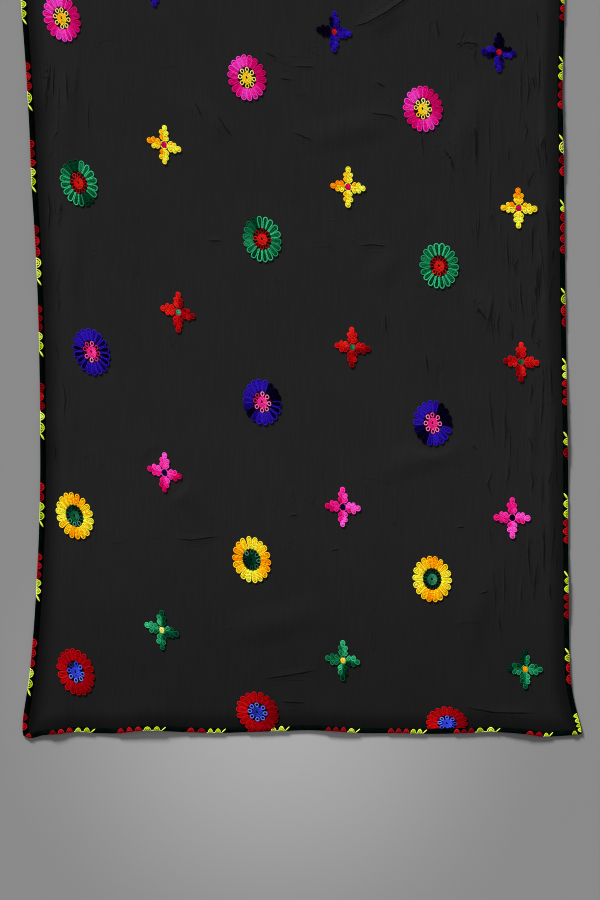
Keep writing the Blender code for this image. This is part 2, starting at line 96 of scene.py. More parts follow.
# %% A smooth line through a table's points
def smooth_curve(table, at):
    """A cubic through the table's points, each slope taken from its neighbours."""
    knots, values = np.array(table, float).T
    slopes = np.gradient(values, knots)
    at = np.clip(at, knots[0], knots[-1])
    i = np.clip(np.searchsorted(knots, at) - 1, 0, len(knots) - 2)
    span = knots[i + 1] - knots[i]
    t = (at - knots[i]) / span
    ends = values[i] * (1 + 2 * t) * (1 - t) ** 2 + values[i + 1] * t**2 * (3 - 2 * t)
    return ends + span * (slopes[i] * t * (1 - t) ** 2 - slopes[i + 1] * t**2 * (1 - t))


def blend(first, last, share):
    """(1 - share)·first + share·last."""
    return (1 - share) * first + share * last


def unit(vectors):
    """Each vector divided by its length."""
    return vectors / np.linalg.norm(vectors, axis=-1, keepdims=True)


def hump(distance, reach):
    """1 at the middle, falling smoothly to 0 at the reach, as a squared cosine."""
    return np.cos(np.clip(np.abs(distance) / reach, 0, 1) * pi / 2) ** 2


def smooth_step(value, low, high):
    """0 below the low value, 1 above the high one, and 3t² - 2t³ between them."""
    t = np.clip((value - low) / (high - low), 0, 1)
    return t * t * (3 - 2 * t)


# %% [markdown]
# ## A grid that is fine where the cloth is creased
# The cloth is one surface of two parameters: how far across and how far along the cut.
# Its grid lines lie 2 mm apart where small wrinkles run down beside the edges, 5 mm
# apart in the middle, and wider past the part that is seen closest. The counts are
# multiples of four, because the flat underside takes only each fourth line.

# %% Grid lines of the cut
FINE_PER_COARSE = 4
Band = namedtuple("Band", "end cells")
COLUMN_BANDS = [
    Band(RAMP_START, 4), Band(RAMP_END, 4), Band(105, 24), Band(780, 164),
    Band(PANEL_WIDTH - RAMP_END, 64), Band(PANEL_WIDTH - RAMP_START, 4), Band(PANEL_WIDTH, 4),
]
ROW_BANDS = [
    Band(RAMP_START, 4), Band(RAMP_END, 4), Band(1290, 256), Band(LENGTH - RAMP_END, 68),
    Band(LENGTH - RAMP_START, 4), Band(LENGTH, 4),
]


def grid_lines(bands):
    """Distances of the grid lines from the first edge: each band is cut into equal cells."""
    lines = [np.zeros(1)]
    for band in bands:
        start = lines[-1][-1]
        lines.append(start + (band.end - start) * np.arange(1, band.cells + 1) / band.cells)
    return np.concatenate(lines)


columns, rows = grid_lines(COLUMN_BANDS), grid_lines(ROW_BANDS)
print(f"grid of {len(columns)} by {len(rows)} lines")

# %% The four edges, and the way in from each of them
def segment_normals(path, side):
    """The level unit vector to the given side of each segment of a path."""
    run = unit(np.diff(path, axis=0))
    return side * np.column_stack([-run[:, 1], run[:, 0]])


def corner_step(first, second):
    """The step from a corner that lies 1 mm inside both of its sides."""
    return (first + second) / (1 + (first * second).sum(axis=-1, keepdims=True))


def round_corner(path, backwards, corner):
    """Lays a path's first few points, or its last, in a straight line to the corner."""
    run = path[::-1] if backwards else path
    share = np.linspace(0, 1, FINE_PER_COARSE + 1)[:, None]
    run[: FINE_PER_COARSE + 1] = corner + share * (run[FINE_PER_COARSE] - corner)


def lay_out_edges():
    """The outline's four paths at the grid lines, and the inward step at each point."""
    hems = (("near", NEAR_HEM, 0), ("far", FAR_HEM, LENGTH))
    sides = (("left", LEFT_EDGE), ("right", RIGHT_EDGE))
    corner = {}
    for end, hem, along in hems:
        for side, edge in sides:
            x = smooth_curve(edge, along)
            corner[end, side] = np.array([x, smooth_curve(hem, x)])
    found = {}
    for end, hem, _ in hems:
        x = blend(corner[end, "left"][0], corner[end, "right"][0], columns / PANEL_WIDTH)
        found[end] = np.column_stack([x, smooth_curve(hem, x)])
    for side, edge in sides:
        y = blend(corner["near", side][1], corner["far", side][1], rows / LENGTH)
        found[side] = np.column_stack([smooth_curve(edge, y), y])
    for end, side in corner:
        right, far = side == "right", end == "far"
        rounded = corner[end, side] + CORNER_INSET * np.array([1 - 2 * right, 1 - 2 * far])
        round_corner(found[end], right, rounded)
        round_corner(found[side], far, rounded)
    inward, normals = {}, {}
    for name, side in (("left", -1), ("right", 1), ("near", 1), ("far", -1)):
        normal = normals[name] = segment_normals(found[name], side)
        inner = corner_step(normal[:-1], normal[1:])
        inward[name] = np.vstack([normal[:1], inner, normal[-1:]])
    for end, side in corner:
        at, other = -(end == "far"), -(side == "right")
        shared = corner_step(normals[end][other], normals[side][at])
        inward[end][other] = inward[side][at] = shared
    return found, inward


paths, steps = lay_out_edges()
outline = np.vstack(list(paths.values()))
MIDDLE = (outline.min(axis=0) + outline.max(axis=0)) / 2
print("outline", np.ptp(outline, axis=0).round(1), "mm, its middle at", MIDDLE.round(2))

# %% [markdown]
# ## Waves, folds and creases
# Three kinds of relief make the cloth look like cloth. The bound edges lift in long low waves. Soft
# folds lie between the motifs, as in the imported solid. Over them run the small creases: each is a
# ridge along a short bent line, and each has its own length, height and width, because even ones look
# like a machine's.

# %% Tables of the relief, in mm
Wave = namedtuple("Wave", "edge at reach height fade")
WAVES = [Wave(*row) for row in (
    ("near", -425, 34, 2.5, 45), ("near", -262, 92, 3.8, 100), ("near", 60, 62, 2.0, 72),
    ("near", 376, 54, 2.8, 56), ("far", -300, 110, 4.5, 76), ("far", 60, 66, 3.5, 90),
    ("far", 362, 62, 3.5, 80), ("left", 515, 56, 2.5, 45), ("left", 800, 56, 2.0, 45),
    ("left", 1086, 56, 3.0, 50), ("left", 1640, 60, 2.5, 45), ("right", 250, 90, 2.5, 40),
    ("right", 520, 110, 3.0, 40), ("right", 1020, 120, 3.0, 40), ("right", 1560, 110, 2.5, 40),
)]
# Each fold: x and y of its two ends, its height and its width
FOLDS = [
    (427, 250, 432, 590, 2.2, 30), (424, 640, 420, 930, 2.6, 34), (416, 950, 424, 1290, 2.2, 30),
    (392, 430, 396, 590, 1.6, 28), (404, 1560, 420, 1900, 2.4, 32), (412, 1930, 420, 2160, 2.0, 32),
    (-404, 990, -398, 1170, 2.4, 50), (-392, 720, -400, 890, 2.0, 50),
    (-396, 440, -404, 600, 1.6, 50), (-410, 1560, -400, 1720, 2.2, 50),
    (176, 1262, 100, 1196, 3.0, 70), (262, 960, 312, 1130, 2.6, 72),
    (-205, 1110, -120, 1000, 2.6, 70), (-20, 1010, 170, 1060, 2.2, 74),
    (288, 780, 330, 690, 2.4, 70), (120, 760, 160, 840, 2.0, 70), (-300, 520, -130, 340, 2.2, 76),
    (120, 450, 290, 500, 2.4, 74), (-150, 170, 60, 215, 2.6, 80), (270, 120, 330, 320, 2.2, 72),
    (-330, 1380, -140, 1300, 2.8, 76), (90, 1330, 180, 1500, 2.6, 74),
    (-300, 1680, -110, 1760, 2.4, 76), (260, 1750, 330, 1900, 2.4, 72),
    (110, 1850, 200, 2000, 2.6, 74), (-330, 1960, -150, 2090, 2.6, 76),
]
Crease = namedtuple("Crease", "line height width")
CREASES = [Crease(*row) for row in (
    ([(238, 1300), (204, 1286), (173, 1258), (142, 1236), (110, 1219), (62, 1208)], 1.9, 12),
    ([(228, 1233), (236, 1186)], 1.1, 12), ([(253, 1181), (284, 1186), (313, 1180)], 1.2, 13),
    ([(-68, 1173), (-38, 1156)], 0.9, 12), ([(-21, 1145), (27, 1144)], 1.0, 12),
    ([(-46, 1126), (-12, 1121)], 0.8, 12), ([(108, 1067), (151, 1061), (171, 1049)], 1.3, 13),
    ([(122, 1121), (146, 1108)], 0.9, 12), ([(-187, 1091), (-169, 1053)], 1.0, 12),
    ([(-149, 1070), (-136, 1046), (-115, 1019)], 1.3, 14), ([(-21, 1036), (22, 1015)], 1.0, 13),
    ([(236, 1010), (254, 990), (262, 959)], 1.2, 13),
    ([(300, 1087), (297, 1020), (300, 950)], 1.1, 10),
    ([(91, 837), (120, 840), (154, 835)], 1.1, 13), ([(-166, 847), (-132, 846)], 0.9, 12),
    ([(288, 753), (302, 730), (322, 702)], 1.3, 14), ([(142, 728), (144, 685)], 1.0, 11),
    ([(211, 659), (216, 616)], 1.0, 11), ([(288, 500), (301, 488)], 0.8, 12),
    ([(-226, 339), (-192, 334), (-132, 342)], 1.2, 13), ([(-26, 375), (-3, 377)], 0.8, 12),
    ([(48, 315), (65, 320)], 0.8, 12), ([(262, 356), (282, 356)], 0.8, 12),
    ([(301, 241), (322, 248)], 0.8, 12), ([(-80, 94), (-3, 106), (39, 115)], 1.2, 14),
    ([(-55, 58), (14, 55)], 1.1, 12), ([(262, 51), (330, 39), (416, 38)], 1.4, 14),
    ([(-440, 1173), (-434, 1110), (-441, 1053)], 1.1, 9), ([(-424, 1160), (-427, 1080)], 1.0, 9),
    ([(-405, 1150), (-400, 1066)], 0.8, 10), ([(-438, 950), (-431, 900), (-436, 847)], 1.0, 9),
    ([(-412, 930), (-416, 862)], 0.8, 10), ([(-330, 1340), (-262, 1360), (-205, 1342)], 1.3, 22),
    ([(150, 1380), (190, 1440), (196, 1500)], 1.4, 22),
    ([(-60, 1490), (-10, 1530), (40, 1524)], 1.2, 22),
    ([(-310, 1600), (-250, 1620), (-170, 1600)], 1.3, 24), ([(120, 1640), (170, 1700)], 1.2, 22),
    ([(-30, 1770), (20, 1800), (90, 1790)], 1.3, 24),
    ([(-340, 1860), (-280, 1900), (-240, 1980)], 1.4, 24),
    ([(150, 1960), (210, 2000), (290, 1990)], 1.3, 24), ([(-40, 2060), (30, 2100)], 1.2, 22),
    ([(260, 2110), (330, 2130), (400, 2126)], 1.3, 22),
    ([(-410, 2170), (-330, 2160), (-260, 2176)], 1.3, 22),
)]

# %% Fine wrinkles that run along the cloth beside its edges
# Each strip of wrinkles: from and to across the cloth, from and to along it, the spacing
# of its lines, and their height and width
STRIPS = [
    (396, 440, 200, 930, 6, 0.7, 7), (330, 398, 150, 1180, 11, 0.55, 7),
    (390, 436, 940, 1250, 7, 0.65, 7), (-446, -400, 430, 1180, 13, 0.55, 8),
    (215, 300, 700, 1230, 25, 0.45, 9), (-400, -330, 880, 1200, 24, 0.45, 9),
    (396, 440, 1280, 2180, 14, 1.0, 10), (-452, -405, 1300, 2180, 18, 0.8, 11),
    (300, 345, 620, 1200, 22, 0.5, 10),
]
WRINKLE_LENGTHS = (40, 165)
PINCH_REACH = 12.0


def strip_wrinkles(x, last_x, first_y, last_y, spacing, height, width):
    """Thin ridges side by side: each line is broken into stretches of uneven length."""
    found = []
    while x < last_x:
        y = first_y + random.uniform(0, 60)
        while y < last_y - 40:
            end = min(y + random.uniform(*WRINKLE_LENGTHS), last_y)
            across = x + random.normal(0, 3.5) + np.cumsum(random.normal(0, 3.4, 5))
            line = list(zip(across, np.linspace(y, end, 5)))
            tall = height * random.uniform(0.35, 1.3)
            found.append(Crease(line, tall, width * random.uniform(0.8, 1.25)))
            y = end + random.uniform(-20, 70)
        x += spacing * random.uniform(0.7, 1.4)
    return found


random = np.random.default_rng(7)
wrinkles = [wrinkle for strip in STRIPS for wrinkle in strip_wrinkles(*strip)]
print(f"{len(CREASES)} creases by hand and {len(wrinkles)} fine wrinkles")

# %% Work out the relief
FOLD_TAPER, CREASE_TAPER = 1.15, 1.05
# The coordinate that runs along each edge: 0 is x and 1 is y
AXIS = {"left": 1, "right": 1, "near": 0, "far": 0}


def edge_ramp(depth):
    """The cloth's rise at a depth in from the edge: full under the binding, then even
    down to the flat cloth."""
    return EDGE_RISE * np.clip((RAMP_END - depth) / (RAMP_END - RAMP_START), 0, 1)


def panel_plan():
    """The panel's grid in plan: its four inset edges, blended across the middle."""
    inset = {name: paths[name] + EDGE_INSET * steps[name] for name in paths}
    u = (columns / PANEL_WIDTH)[None, :, None]
    v = (rows / LENGTH)[:, None, None]
    across = blend(inset["left"][:, None], inset["right"][:, None], u)
    along = blend(inset["near"][None], inset["far"][None], v)
    near, far = (blend(inset[name][0], inset[name][-1], u) for name in ("near", "far"))
    return across + along - blend(near, far, v)


def add_ridge(relief, plan, line, height, width, pointed, pinch=None):
    """Raises the relief along a bent line: a cosine hump across it, and a hump along
    it that is gone at its ends. Where two ridges cross, the higher one stays. A pinch,
    if given, keeps the signed distance off the nearest line and the height there."""
    line = np.array(line, float)
    low, high = line.min(axis=0) - width, line.max(axis=0) + width
    near = ((plan > low) & (plan < high)).all(axis=2)
    spot = plan[near]
    runs = np.diff(line, axis=0)
    lengths = np.linalg.norm(runs, axis=1)
    covered = np.concatenate([[0], np.cumsum(lengths)])
    nearest = np.full(len(spot), np.inf)
    share, side = np.zeros(len(spot)), np.zeros(len(spot))
    for start, run, length, before in zip(line, runs, lengths, covered):
        away = spot - start
        t = np.clip((away @ run) / length**2, 0, 1)
        beside = np.linalg.norm(away - t[:, None] * run, axis=1)
        closer = beside < nearest
        side = np.where(closer, np.sign(run[0] * away[:, 1] - run[1] * away[:, 0]), side)
        nearest = np.where(closer, beside, nearest)
        share = np.where(closer, (before + t * length) / covered[-1], share)
    taper = hump(2 * share - 1, pointed)
    relief[near] = np.maximum(relief[near], height * taper * hump(nearest, width / 2))
    if pinch is not None:
        off, size = pinch
        closest = nearest < np.abs(off[near])
        off[near] = np.where(closest, side * nearest, off[near])
        size[near] = np.where(closest, height * taper, size[near])


plan = panel_plan()
depths = {
    "left": columns[None, :], "right": (PANEL_WIDTH - columns)[None, :],
    "near": rows[:, None], "far": (LENGTH - rows)[:, None],
}
inside = np.stack(np.broadcast_arrays(*depths.values())).min(axis=0)
lifts = {name: np.zeros(len(path)) for name, path in paths.items()}
waves = np.zeros(inside.shape)
for wave in WAVES:
    axis = AXIS[wave.edge]
    lift = wave.height * hump(paths[wave.edge][:, axis] - wave.at, wave.reach)
    lifts[wave.edge] += lift
    fade = hump(np.maximum(depths[wave.edge] - RAMP_START, 0), wave.fade)
    waves += np.expand_dims(lift, axis) * fade

folds = np.zeros(inside.shape)
for x0, y0, x1, y1, height, width in FOLDS:
    add_ridge(folds, plan, [(x0, y0), (x1, y1)], height, width, FOLD_TAPER)
creases = np.zeros(inside.shape)
pinch = (np.full(inside.shape, PINCH_REACH), np.zeros(inside.shape))
for crease in CREASES + wrinkles:
    add_ridge(creases, plan, *crease, CREASE_TAPER, pinch)
print(f"folds up to {folds.max():.1f} mm, creases up to {creases.max():.1f} mm")

# %% [markdown]
# ## Where the motifs lie
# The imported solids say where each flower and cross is: the middle of its box. A flower
# at a hem is cut off there, so its middle is measured from its whole side instead. The
# weft of this cloth sags towards the right, most at the left edge, so every motif is
# slanted in the same way as the threads under it.

# %% Places and slant of the motifs
# How far across, and the weft's slant there in degrees
WEFT_TILT = [
    (-480, 17.0), (-390, 16.5), (-240, 15.5), (-80, 8.5), (70, 6.5), (230, 3.5), (375, 2.5),
    (480, 2.0),
]
HALF_SIZES = {"flower": (34.0, 40.0), "cross": (30.0, 34.0)}
OWN_SIZES = {"flower_2_1": (37.9, 34.8), "flower_3_1": (36.3, 28.6)}
FLOWER_CUT = BINDING_WIDTH + 0.5
OWN_CUTS = {"flower_2_1": 2.6}
# A flower whose box is this much lower than a whole one is cut at a hem
SHORT_BY = 3
Motif = namedtuple("Motif", "name kind column row x y half tilt cut")


def find_motifs():
    """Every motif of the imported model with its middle, half sizes and slant, and the hem
    that cuts it. A slanted oval's half height is the root of length² + (width·sin t)²."""
    found = []
    for name in sorted(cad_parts):
        kind = name.split("_")[0]
        if kind not in HALF_SIZES:
            continue
        column, row = (int(part) - 1 for part in name.split("_")[1:])
        low, high = np.array([list(corner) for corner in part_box(name)])[:, :2] / MM + MIDDLE
        x, y = (low + high) / 2
        tilt = radians(float(smooth_curve(WEFT_TILT, x)))
        half = np.array(OWN_SIZES.get(name, HALF_SIZES[kind]))
        tall = np.hypot(half[1], half[0] * sin(tilt))
        cut = None
        if kind == "flower" and high[1] - low[1] < 2 * tall - SHORT_BY:
            cut = "near" if y < LENGTH / 2 else "far"
            y = high[1] - tall if cut == "near" else low[1] + tall
        found.append(Motif(name, kind, column, row, x, y, half, tilt, cut))
    return found


motifs = find_motifs()
print(f"{len(motifs)} motifs,", [motif.name for motif in motifs if motif.cut], "cut at a hem")

# %% [markdown]
# ## One way to make every mesh
# All shapes here are grids of points, made as whole arrays. A mesh needs its points, the
# point numbers of each face, and a place on the flat for each face's corner, its UV.
# Handing over arrays with foreach_set is hundreds of times faster than a loop.

# %% Arrays into a mesh
def add_object(name, data):
    """A new object in the scene."""
    made = bpy.data.objects.new(name, data)
    bpy.context.scene.collection.objects.link(made)
    return made


def make_piece(name, points, faces, corners, finishes, values, slots=None):
    """A mesh object from points in mm, lists of faces with as many corners each, the UV
    of each face's corners, its materials and the named values of its points."""
    mesh = bpy.data.meshes.new(name)
    placed = points.copy()
    placed[:, :2] -= MIDDLE
    counts = np.concatenate([np.full(len(part), part.shape[1]) for part in faces])
    starts = np.concatenate([[0], np.cumsum(counts)[:-1]])
    numbers = np.concatenate([part.ravel() for part in faces])
    mesh.vertices.add(len(placed))
    mesh.vertices.foreach_set("co", (placed * MM).ravel())
    mesh.loops.add(len(numbers))
    mesh.loops.foreach_set("vertex_index", numbers)
    mesh.polygons.add(len(counts))
    mesh.polygons.foreach_set("loop_start", starts)
    if slots is not None:
        mesh.polygons.foreach_set("material_index", slots)
    mesh.update(calc_edges=True)
    mesh.validate()
    layer = mesh.uv_layers.new(name="cut")
    layer.data.foreach_set("uv", np.concatenate([part.reshape(-1, 2) for part in corners]).ravel())
    for value_name, value in values.items():
        mesh.attributes.new(value_name, "FLOAT", "POINT").data.foreach_set("value", value)
    for finish in finishes:
        mesh.materials.append(finish)
    mesh.shade_smooth()
    return add_object(name, mesh)


def numbered(shape, first=0):
    """Point numbers, counted row by row over a grid of the given shape."""
    return first + np.arange(np.prod(shape)).reshape(shape)


def grid_faces(numbers):
    """The four-cornered faces of a grid of point numbers, turned to face up."""
    return np.stack(
        [numbers[:-1, :-1], numbers[:-1, 1:], numbers[1:, 1:], numbers[1:, :-1]], axis=-1
    ).reshape(-1, 4)


# %% [markdown]
# ## Shader maths in plain Python
# A material is a graph of nodes. Written out node by node it is hard to read, so one
# small class stands for a socket: adding or multiplying two of them adds the Math node
# that does it. Any other node comes from one method, which takes the node's settings
# and then what goes into its sockets.

# %% Sockets that can be added and multiplied
class Link:
    """What comes out of a node's socket, ready for maths."""

    def __init__(self, finish, node, output):
        self.finish, self.node, self.socket = finish, node, node.outputs[output]

    def out(self, output):
        return Link(self.finish, self.node, output)

    def maths(self, operation, first, second=0.0):
        return self.finish.add("ShaderNodeMath", {"operation": operation}, {0: first, 1: second})

    def __add__(self, other):
        return self.maths("ADD", self, other)

    def __sub__(self, other):
        return self.maths("SUBTRACT", self, other)

    def __rsub__(self, other):
        return self.maths("SUBTRACT", other, self)

    def __mul__(self, other):
        return self.maths("MULTIPLY", self, other)

    __radd__, __rmul__ = __add__, __mul__

    def sine(self):
        return self.maths("SINE", self)

    def size(self):
        return self.maths("ABSOLUTE", self)

    def least(self, other):
        return self.maths("MINIMUM", self, other)

    def ramp(self, low, high):
        """0 below the low value and 1 above the high one, with a smooth run between."""
        inputs = {"Value": self, "From Min": low, "From Max": high}
        return self.finish.add("ShaderNodeMapRange", {"interpolation_type": "SMOOTHSTEP"}, inputs)

    def scaled(self, amount):
        """A colour or vector times a number."""
        settings = {"operation": "SCALE"}
        return self.finish.add("ShaderNodeVectorMath", settings, {"Vector": self, "Scale": amount})


class Finish:
    """A material with one shader, and the one method that adds any node to it."""

    def __init__(self, name, constants):
        self.material = bpy.data.materials.new(name)
        self.material.use_nodes = True
        self.tree = self.material.node_tree
        self.shader = self.tree.nodes["Principled BSDF"]
        for socket, value in constants.items():
            self.shader.inputs[socket].default_value = value

    def add(self, kind, settings, inputs, output=0):
        node = self.tree.nodes.new(kind)
        for name, value in settings.items():
            setattr(node, name, value)
        for name, value in inputs.items():
            self.join(value, node.inputs[name])
        return Link(self, node, output)

    def join(self, value, socket):
        if isinstance(value, Link):
            self.tree.links.new(value.socket, socket)
        else:
            socket.default_value = value

    def feed(self, **links):
        """Joins what changes over the surface to the shader's own sockets."""
        for name, value in links.items():
            self.join(value, self.shader.inputs[name.replace("_", " ")])

    def value(self, name):
        return self.add("ShaderNodeAttribute", {"attribute_name": name}, {}, "Fac")

    def flat_place(self):
        return self.add("ShaderNodeUVMap", {"uv_map": "cut"}, {})

    def own_place(self):
        return self.add("ShaderNodeTexCoord", {}, {}, "Object")

    def apart(self, vector):
        parts = self.add("ShaderNodeSeparateXYZ", {}, {"Vector": vector})
        return parts.out("X"), parts.out("Y")

    def stretched(self, vector, scale):
        return self.add("ShaderNodeMapping", {}, {"Vector": vector, "Scale": scale})

    def plain(self, colour):
        """One colour as a link: a Mix node that keeps only its first colour."""
        return self.add("ShaderNodeMix", {"data_type": "RGBA"}, {0: 0.0, 6: colour}, 2)

    def dyed(self, shade, *stops):
        """A ramp of colours, each stop given as its place and its colour on a screen."""
        ramp = self.add("ShaderNodeValToRGB", {}, {"Fac": shade})
        elements = ramp.node.color_ramp.elements
        while len(elements) < len(stops):
            elements.new(1.0)
        for element, (place, colour) in zip(elements, stops):
            element.position = place
            element.color = linear(*colour)
        return ramp

    def noise(self, vector, scale, detail=2.0):
        return self.add("ShaderNodeTexNoise", {}, {"Vector": vector, "Scale": scale, "Detail": detail})

    def bump(self, height, distance, strength=1.0):
        inputs = {"Height": height, "Distance": distance, "Strength": strength}
        return self.add("ShaderNodeBump", {}, inputs)


def linear(red, green, blue):
    """A colour seen on a screen, 0 to 255, as the light that a shader works in."""
    seen = np.array([red, green, blue]) / 255
    light = np.where(seen <= 0.04045, seen / 12.92, ((seen + 0.055) / 1.055) ** 2.4)
    return (*light.tolist(), 1.0)


# %% [markdown]
# ## The black cloth
# Thin black cotton is matt and nearly the same all over, so its look comes from little things: a weave
# under a millimetre, uneven yarns that leave streaks along the warp, and painted shade in the sharp
# creases and along thin lines. Beside the binding it is darker, partly because the turned-in edge lies
# double there and partly from painted shade of the raised binding. Towards the ends it is darker from
# painted shade. The finish reads the cut through the UV map, so it bends with the cloth, and the weave
# is bump only.

# %% Finish of the cloth
YARN_PITCH = 0.0007
CLOTH_BLACK = linear(34, 34, 34)
STREAKS, CRINKLES = (260.0, 14.0, 1.0), (150.0, 22.0, 1.0)
THIN_LINES = ((6.0, 21.0, 1.0), (26.0, 5.0, 1.0))
# Where each ramp starts and ends: noise values, millimetres of crease, metres from the edge
LINE_THIN, LINE_KEPT, LINE_BROKEN = (0.0, 0.016), (0.54, 0.68), (0.42, 0.56)
PINCH_SHOWS, PINCH_HALF_WIDTH = (0.05, 0.85), 2.0
# Painted shade: the cloth is darker near the binding, where the edge also lies double, and towards its
# ends
BINDING_SHADE_AND_DOUBLE, HEM_PAINTED_SHADE = (0.010, 0.045), (0.0, 0.45)


def thin_lines(finish, place):
    """A stretched noise draws a thin line wherever it crosses its middle value. A second
    noise keeps stretches of each line and a third breaks them up."""
    lines = 0.0
    for stretch in THIN_LINES:
        laid = finish.stretched(place, stretch)
        off = (finish.noise(laid, 1.0, 2.5) - 0.5).size().ramp(*LINE_THIN)
        lines = (1.0 - off) * finish.noise(laid, 0.8, 1.0).ramp(*LINE_KEPT) + lines
    return lines * finish.noise(place, 45.0, 1.0).ramp(*LINE_BROKEN)


def cloth_finish():
    """Black times a tone. Streaks and blotches lighten it. Painted shade darkens it in the middle of a
    crease, along a thin line, beside the binding, where the edge also lies double, and towards the
    ends of the cloth."""
    finish = Finish("black_cotton", {
        "Roughness": 0.9, "Specular IOR Level": 0.0, "Sheen Weight": 0.03,
        "Sheen Roughness": 0.5, "Sheen Tint": (0.8, 0.8, 0.85, 1),
    })
    place = finish.flat_place()
    across, along = finish.apart(place)
    uneven = finish.noise(place, 900.0) * 3.0
    weave = (across * (tau / YARN_PITCH) + uneven).sine() * (along * (tau / YARN_PITCH)).sine()
    streaks = finish.noise(finish.stretched(place, STREAKS), 1.0, 3.0)
    blotches = finish.noise(place, 9.0, 3.0)
    wander = (finish.noise(place, 120.0) - 0.5) * 2.4
    off = (finish.value("off") + wander).size()
    pinch_bump_and_shade = finish.value("pinch").ramp(*PINCH_SHOWS) * (1.0 - off.ramp(0.0, PINCH_HALF_WIDTH))
    lines = thin_lines(finish, place)
    # Painted shade: the middle of each crease and each thin line are darker in the colour, as well as
    # raised in the bump
    tone = 0.76 + streaks * 0.30 + blotches * 0.20 - pinch_bump_and_shade * 0.60 - lines * 0.12
    ends = along.least(LENGTH * MM - along)
    # Painted shade beside the raised binding, together with the edge lying double there
    binding_shade_and_double = across.least(PANEL_WIDTH * MM - across).least(ends).ramp(*BINDING_SHADE_AND_DOUBLE)
    # Painted shade: the cloth darkens towards its ends
    tone = tone * (0.42 + binding_shade_and_double * 0.58) * (0.74 + ends.ramp(*HEM_PAINTED_SHADE) * 0.26)
    creped = finish.noise(finish.stretched(place, CRINKLES), 1.0, 4.0)
    height = weave * 0.05 + creped * 0.5 + streaks * 0.15 + pinch_bump_and_shade * 0.9 + lines * 0.22
    finish.feed(
        Base_Color=finish.plain(CLOTH_BLACK).scaled(tone), Roughness=0.84 + streaks * 0.12,
        Normal=finish.bump(height, 0.001, 0.9),
    )
    return finish.material


cloth_black = cloth_finish()

# %% [markdown]
# ## The cloth's mesh
# The top has every crease. The underside is what lies on the table: it takes each
# fourth line and only the waves and folds, so it stays flat where the cloth rests, and
# the faces go where they are seen. A strip of faces closes the rim between them. Under
# a motif the cloth stays flat, since couched cord stiffens it.

# %% Make the cloth
CLEAR_OF_FOLDS, CLEAR_OF_CREASES, SOFT_RIM = 5, 1, 1.35
FOLDS_SETTLE, CREASES_SETTLE = 16, 6


def kept_by_motifs(reach):
    """0 under a motif and 1 away from it, with a soft rise round it."""
    keep = np.ones(inside.shape)
    for motif in motifs:
        off = (plan - (motif.x, motif.y)) / (motif.half + reach)
        keep = np.minimum(keep, smooth_step(np.linalg.norm(off, axis=2), 1.0, SOFT_RIM))
    return keep


def rim_faces(top, bottom):
    """Closes the rim: each coarse edge below meets four fine ones above."""
    sides = []
    for fine, coarse in (
        (top[0, ::-1], bottom[0, ::-1]), (top[-1], bottom[-1]),
        (top[:, 0], bottom[:, 0]), (top[::-1, -1], bottom[::-1, -1]),
    ):
        at = np.arange(len(coarse) - 1)[:, None] * FINE_PER_COARSE + np.arange(FINE_PER_COARSE + 1)
        sides.append(np.column_stack([coarse[1:], coarse[:-1], fine[at]]))
    return np.vstack(sides)


def make_cloth():
    """The top is the relief plus the wall, the underside is the soft relief alone, and
    both keep the place on the flat that each point was cut from."""
    clear = kept_by_motifs(CLEAR_OF_CREASES)
    soft = kept_by_motifs(CLEAR_OF_FOLDS) * smooth_step(inside, RAMP_END, RAMP_END + FOLDS_SETTLE)
    settled = edge_ramp(inside) + waves + folds * soft
    fine = creases * clear * smooth_step(inside, RAMP_START, RAMP_START + CREASES_SETTLE)
    each_fourth = (slice(None, None, FINE_PER_COARSE),) * 2
    top = np.dstack([plan, settled + fine + WALL])
    bottom = np.dstack([plan, settled])[each_fourth]
    flat = np.stack(np.broadcast_arrays(columns[None], rows[:, None]), axis=-1) * MM
    numbers = numbered(top.shape[:2])
    below = numbered(bottom.shape[:2], numbers.size)
    faces = [grid_faces(numbers), grid_faces(below)[:, ::-1], rim_faces(numbers, below)]
    points = np.vstack([top.reshape(-1, 3), bottom.reshape(-1, 3)])
    flats = np.vstack([flat.reshape(-1, 2), flat[each_fourth].reshape(-1, 2)])
    off, size = (np.where(inside > RAMP_END, part, 0) for part in pinch)
    values = {"off": off, "pinch": size * clear}
    values = {name: np.append(value, np.zeros(below.size)) for name, value in values.items()}
    return make_piece("cloth", points, faces, [flats[part] for part in faces], [cloth_black], values)


cloth = make_cloth()
print(f"cloth: {len(cloth.data.polygons)} faces")

# %% [markdown]
# ## Cords
# Every motif, and the lace, is made of round thread. A cord is a circle carried along a path. The
# circle stands across the path's direction, with its upper side away from the cloth. Many paths with
# as many points each are handled as one array. Each point also gets a shade: 0 is the thread's darkest
# dye and 1 its lightest. Painted shade lowers it at the sides and underside of each cord.

# %% Gather the cords of one piece
# Painted shade: how much darker a cord's sides and underside are, so cords side by side show apart
SIDE_PAINTED_SHADE = 0.28


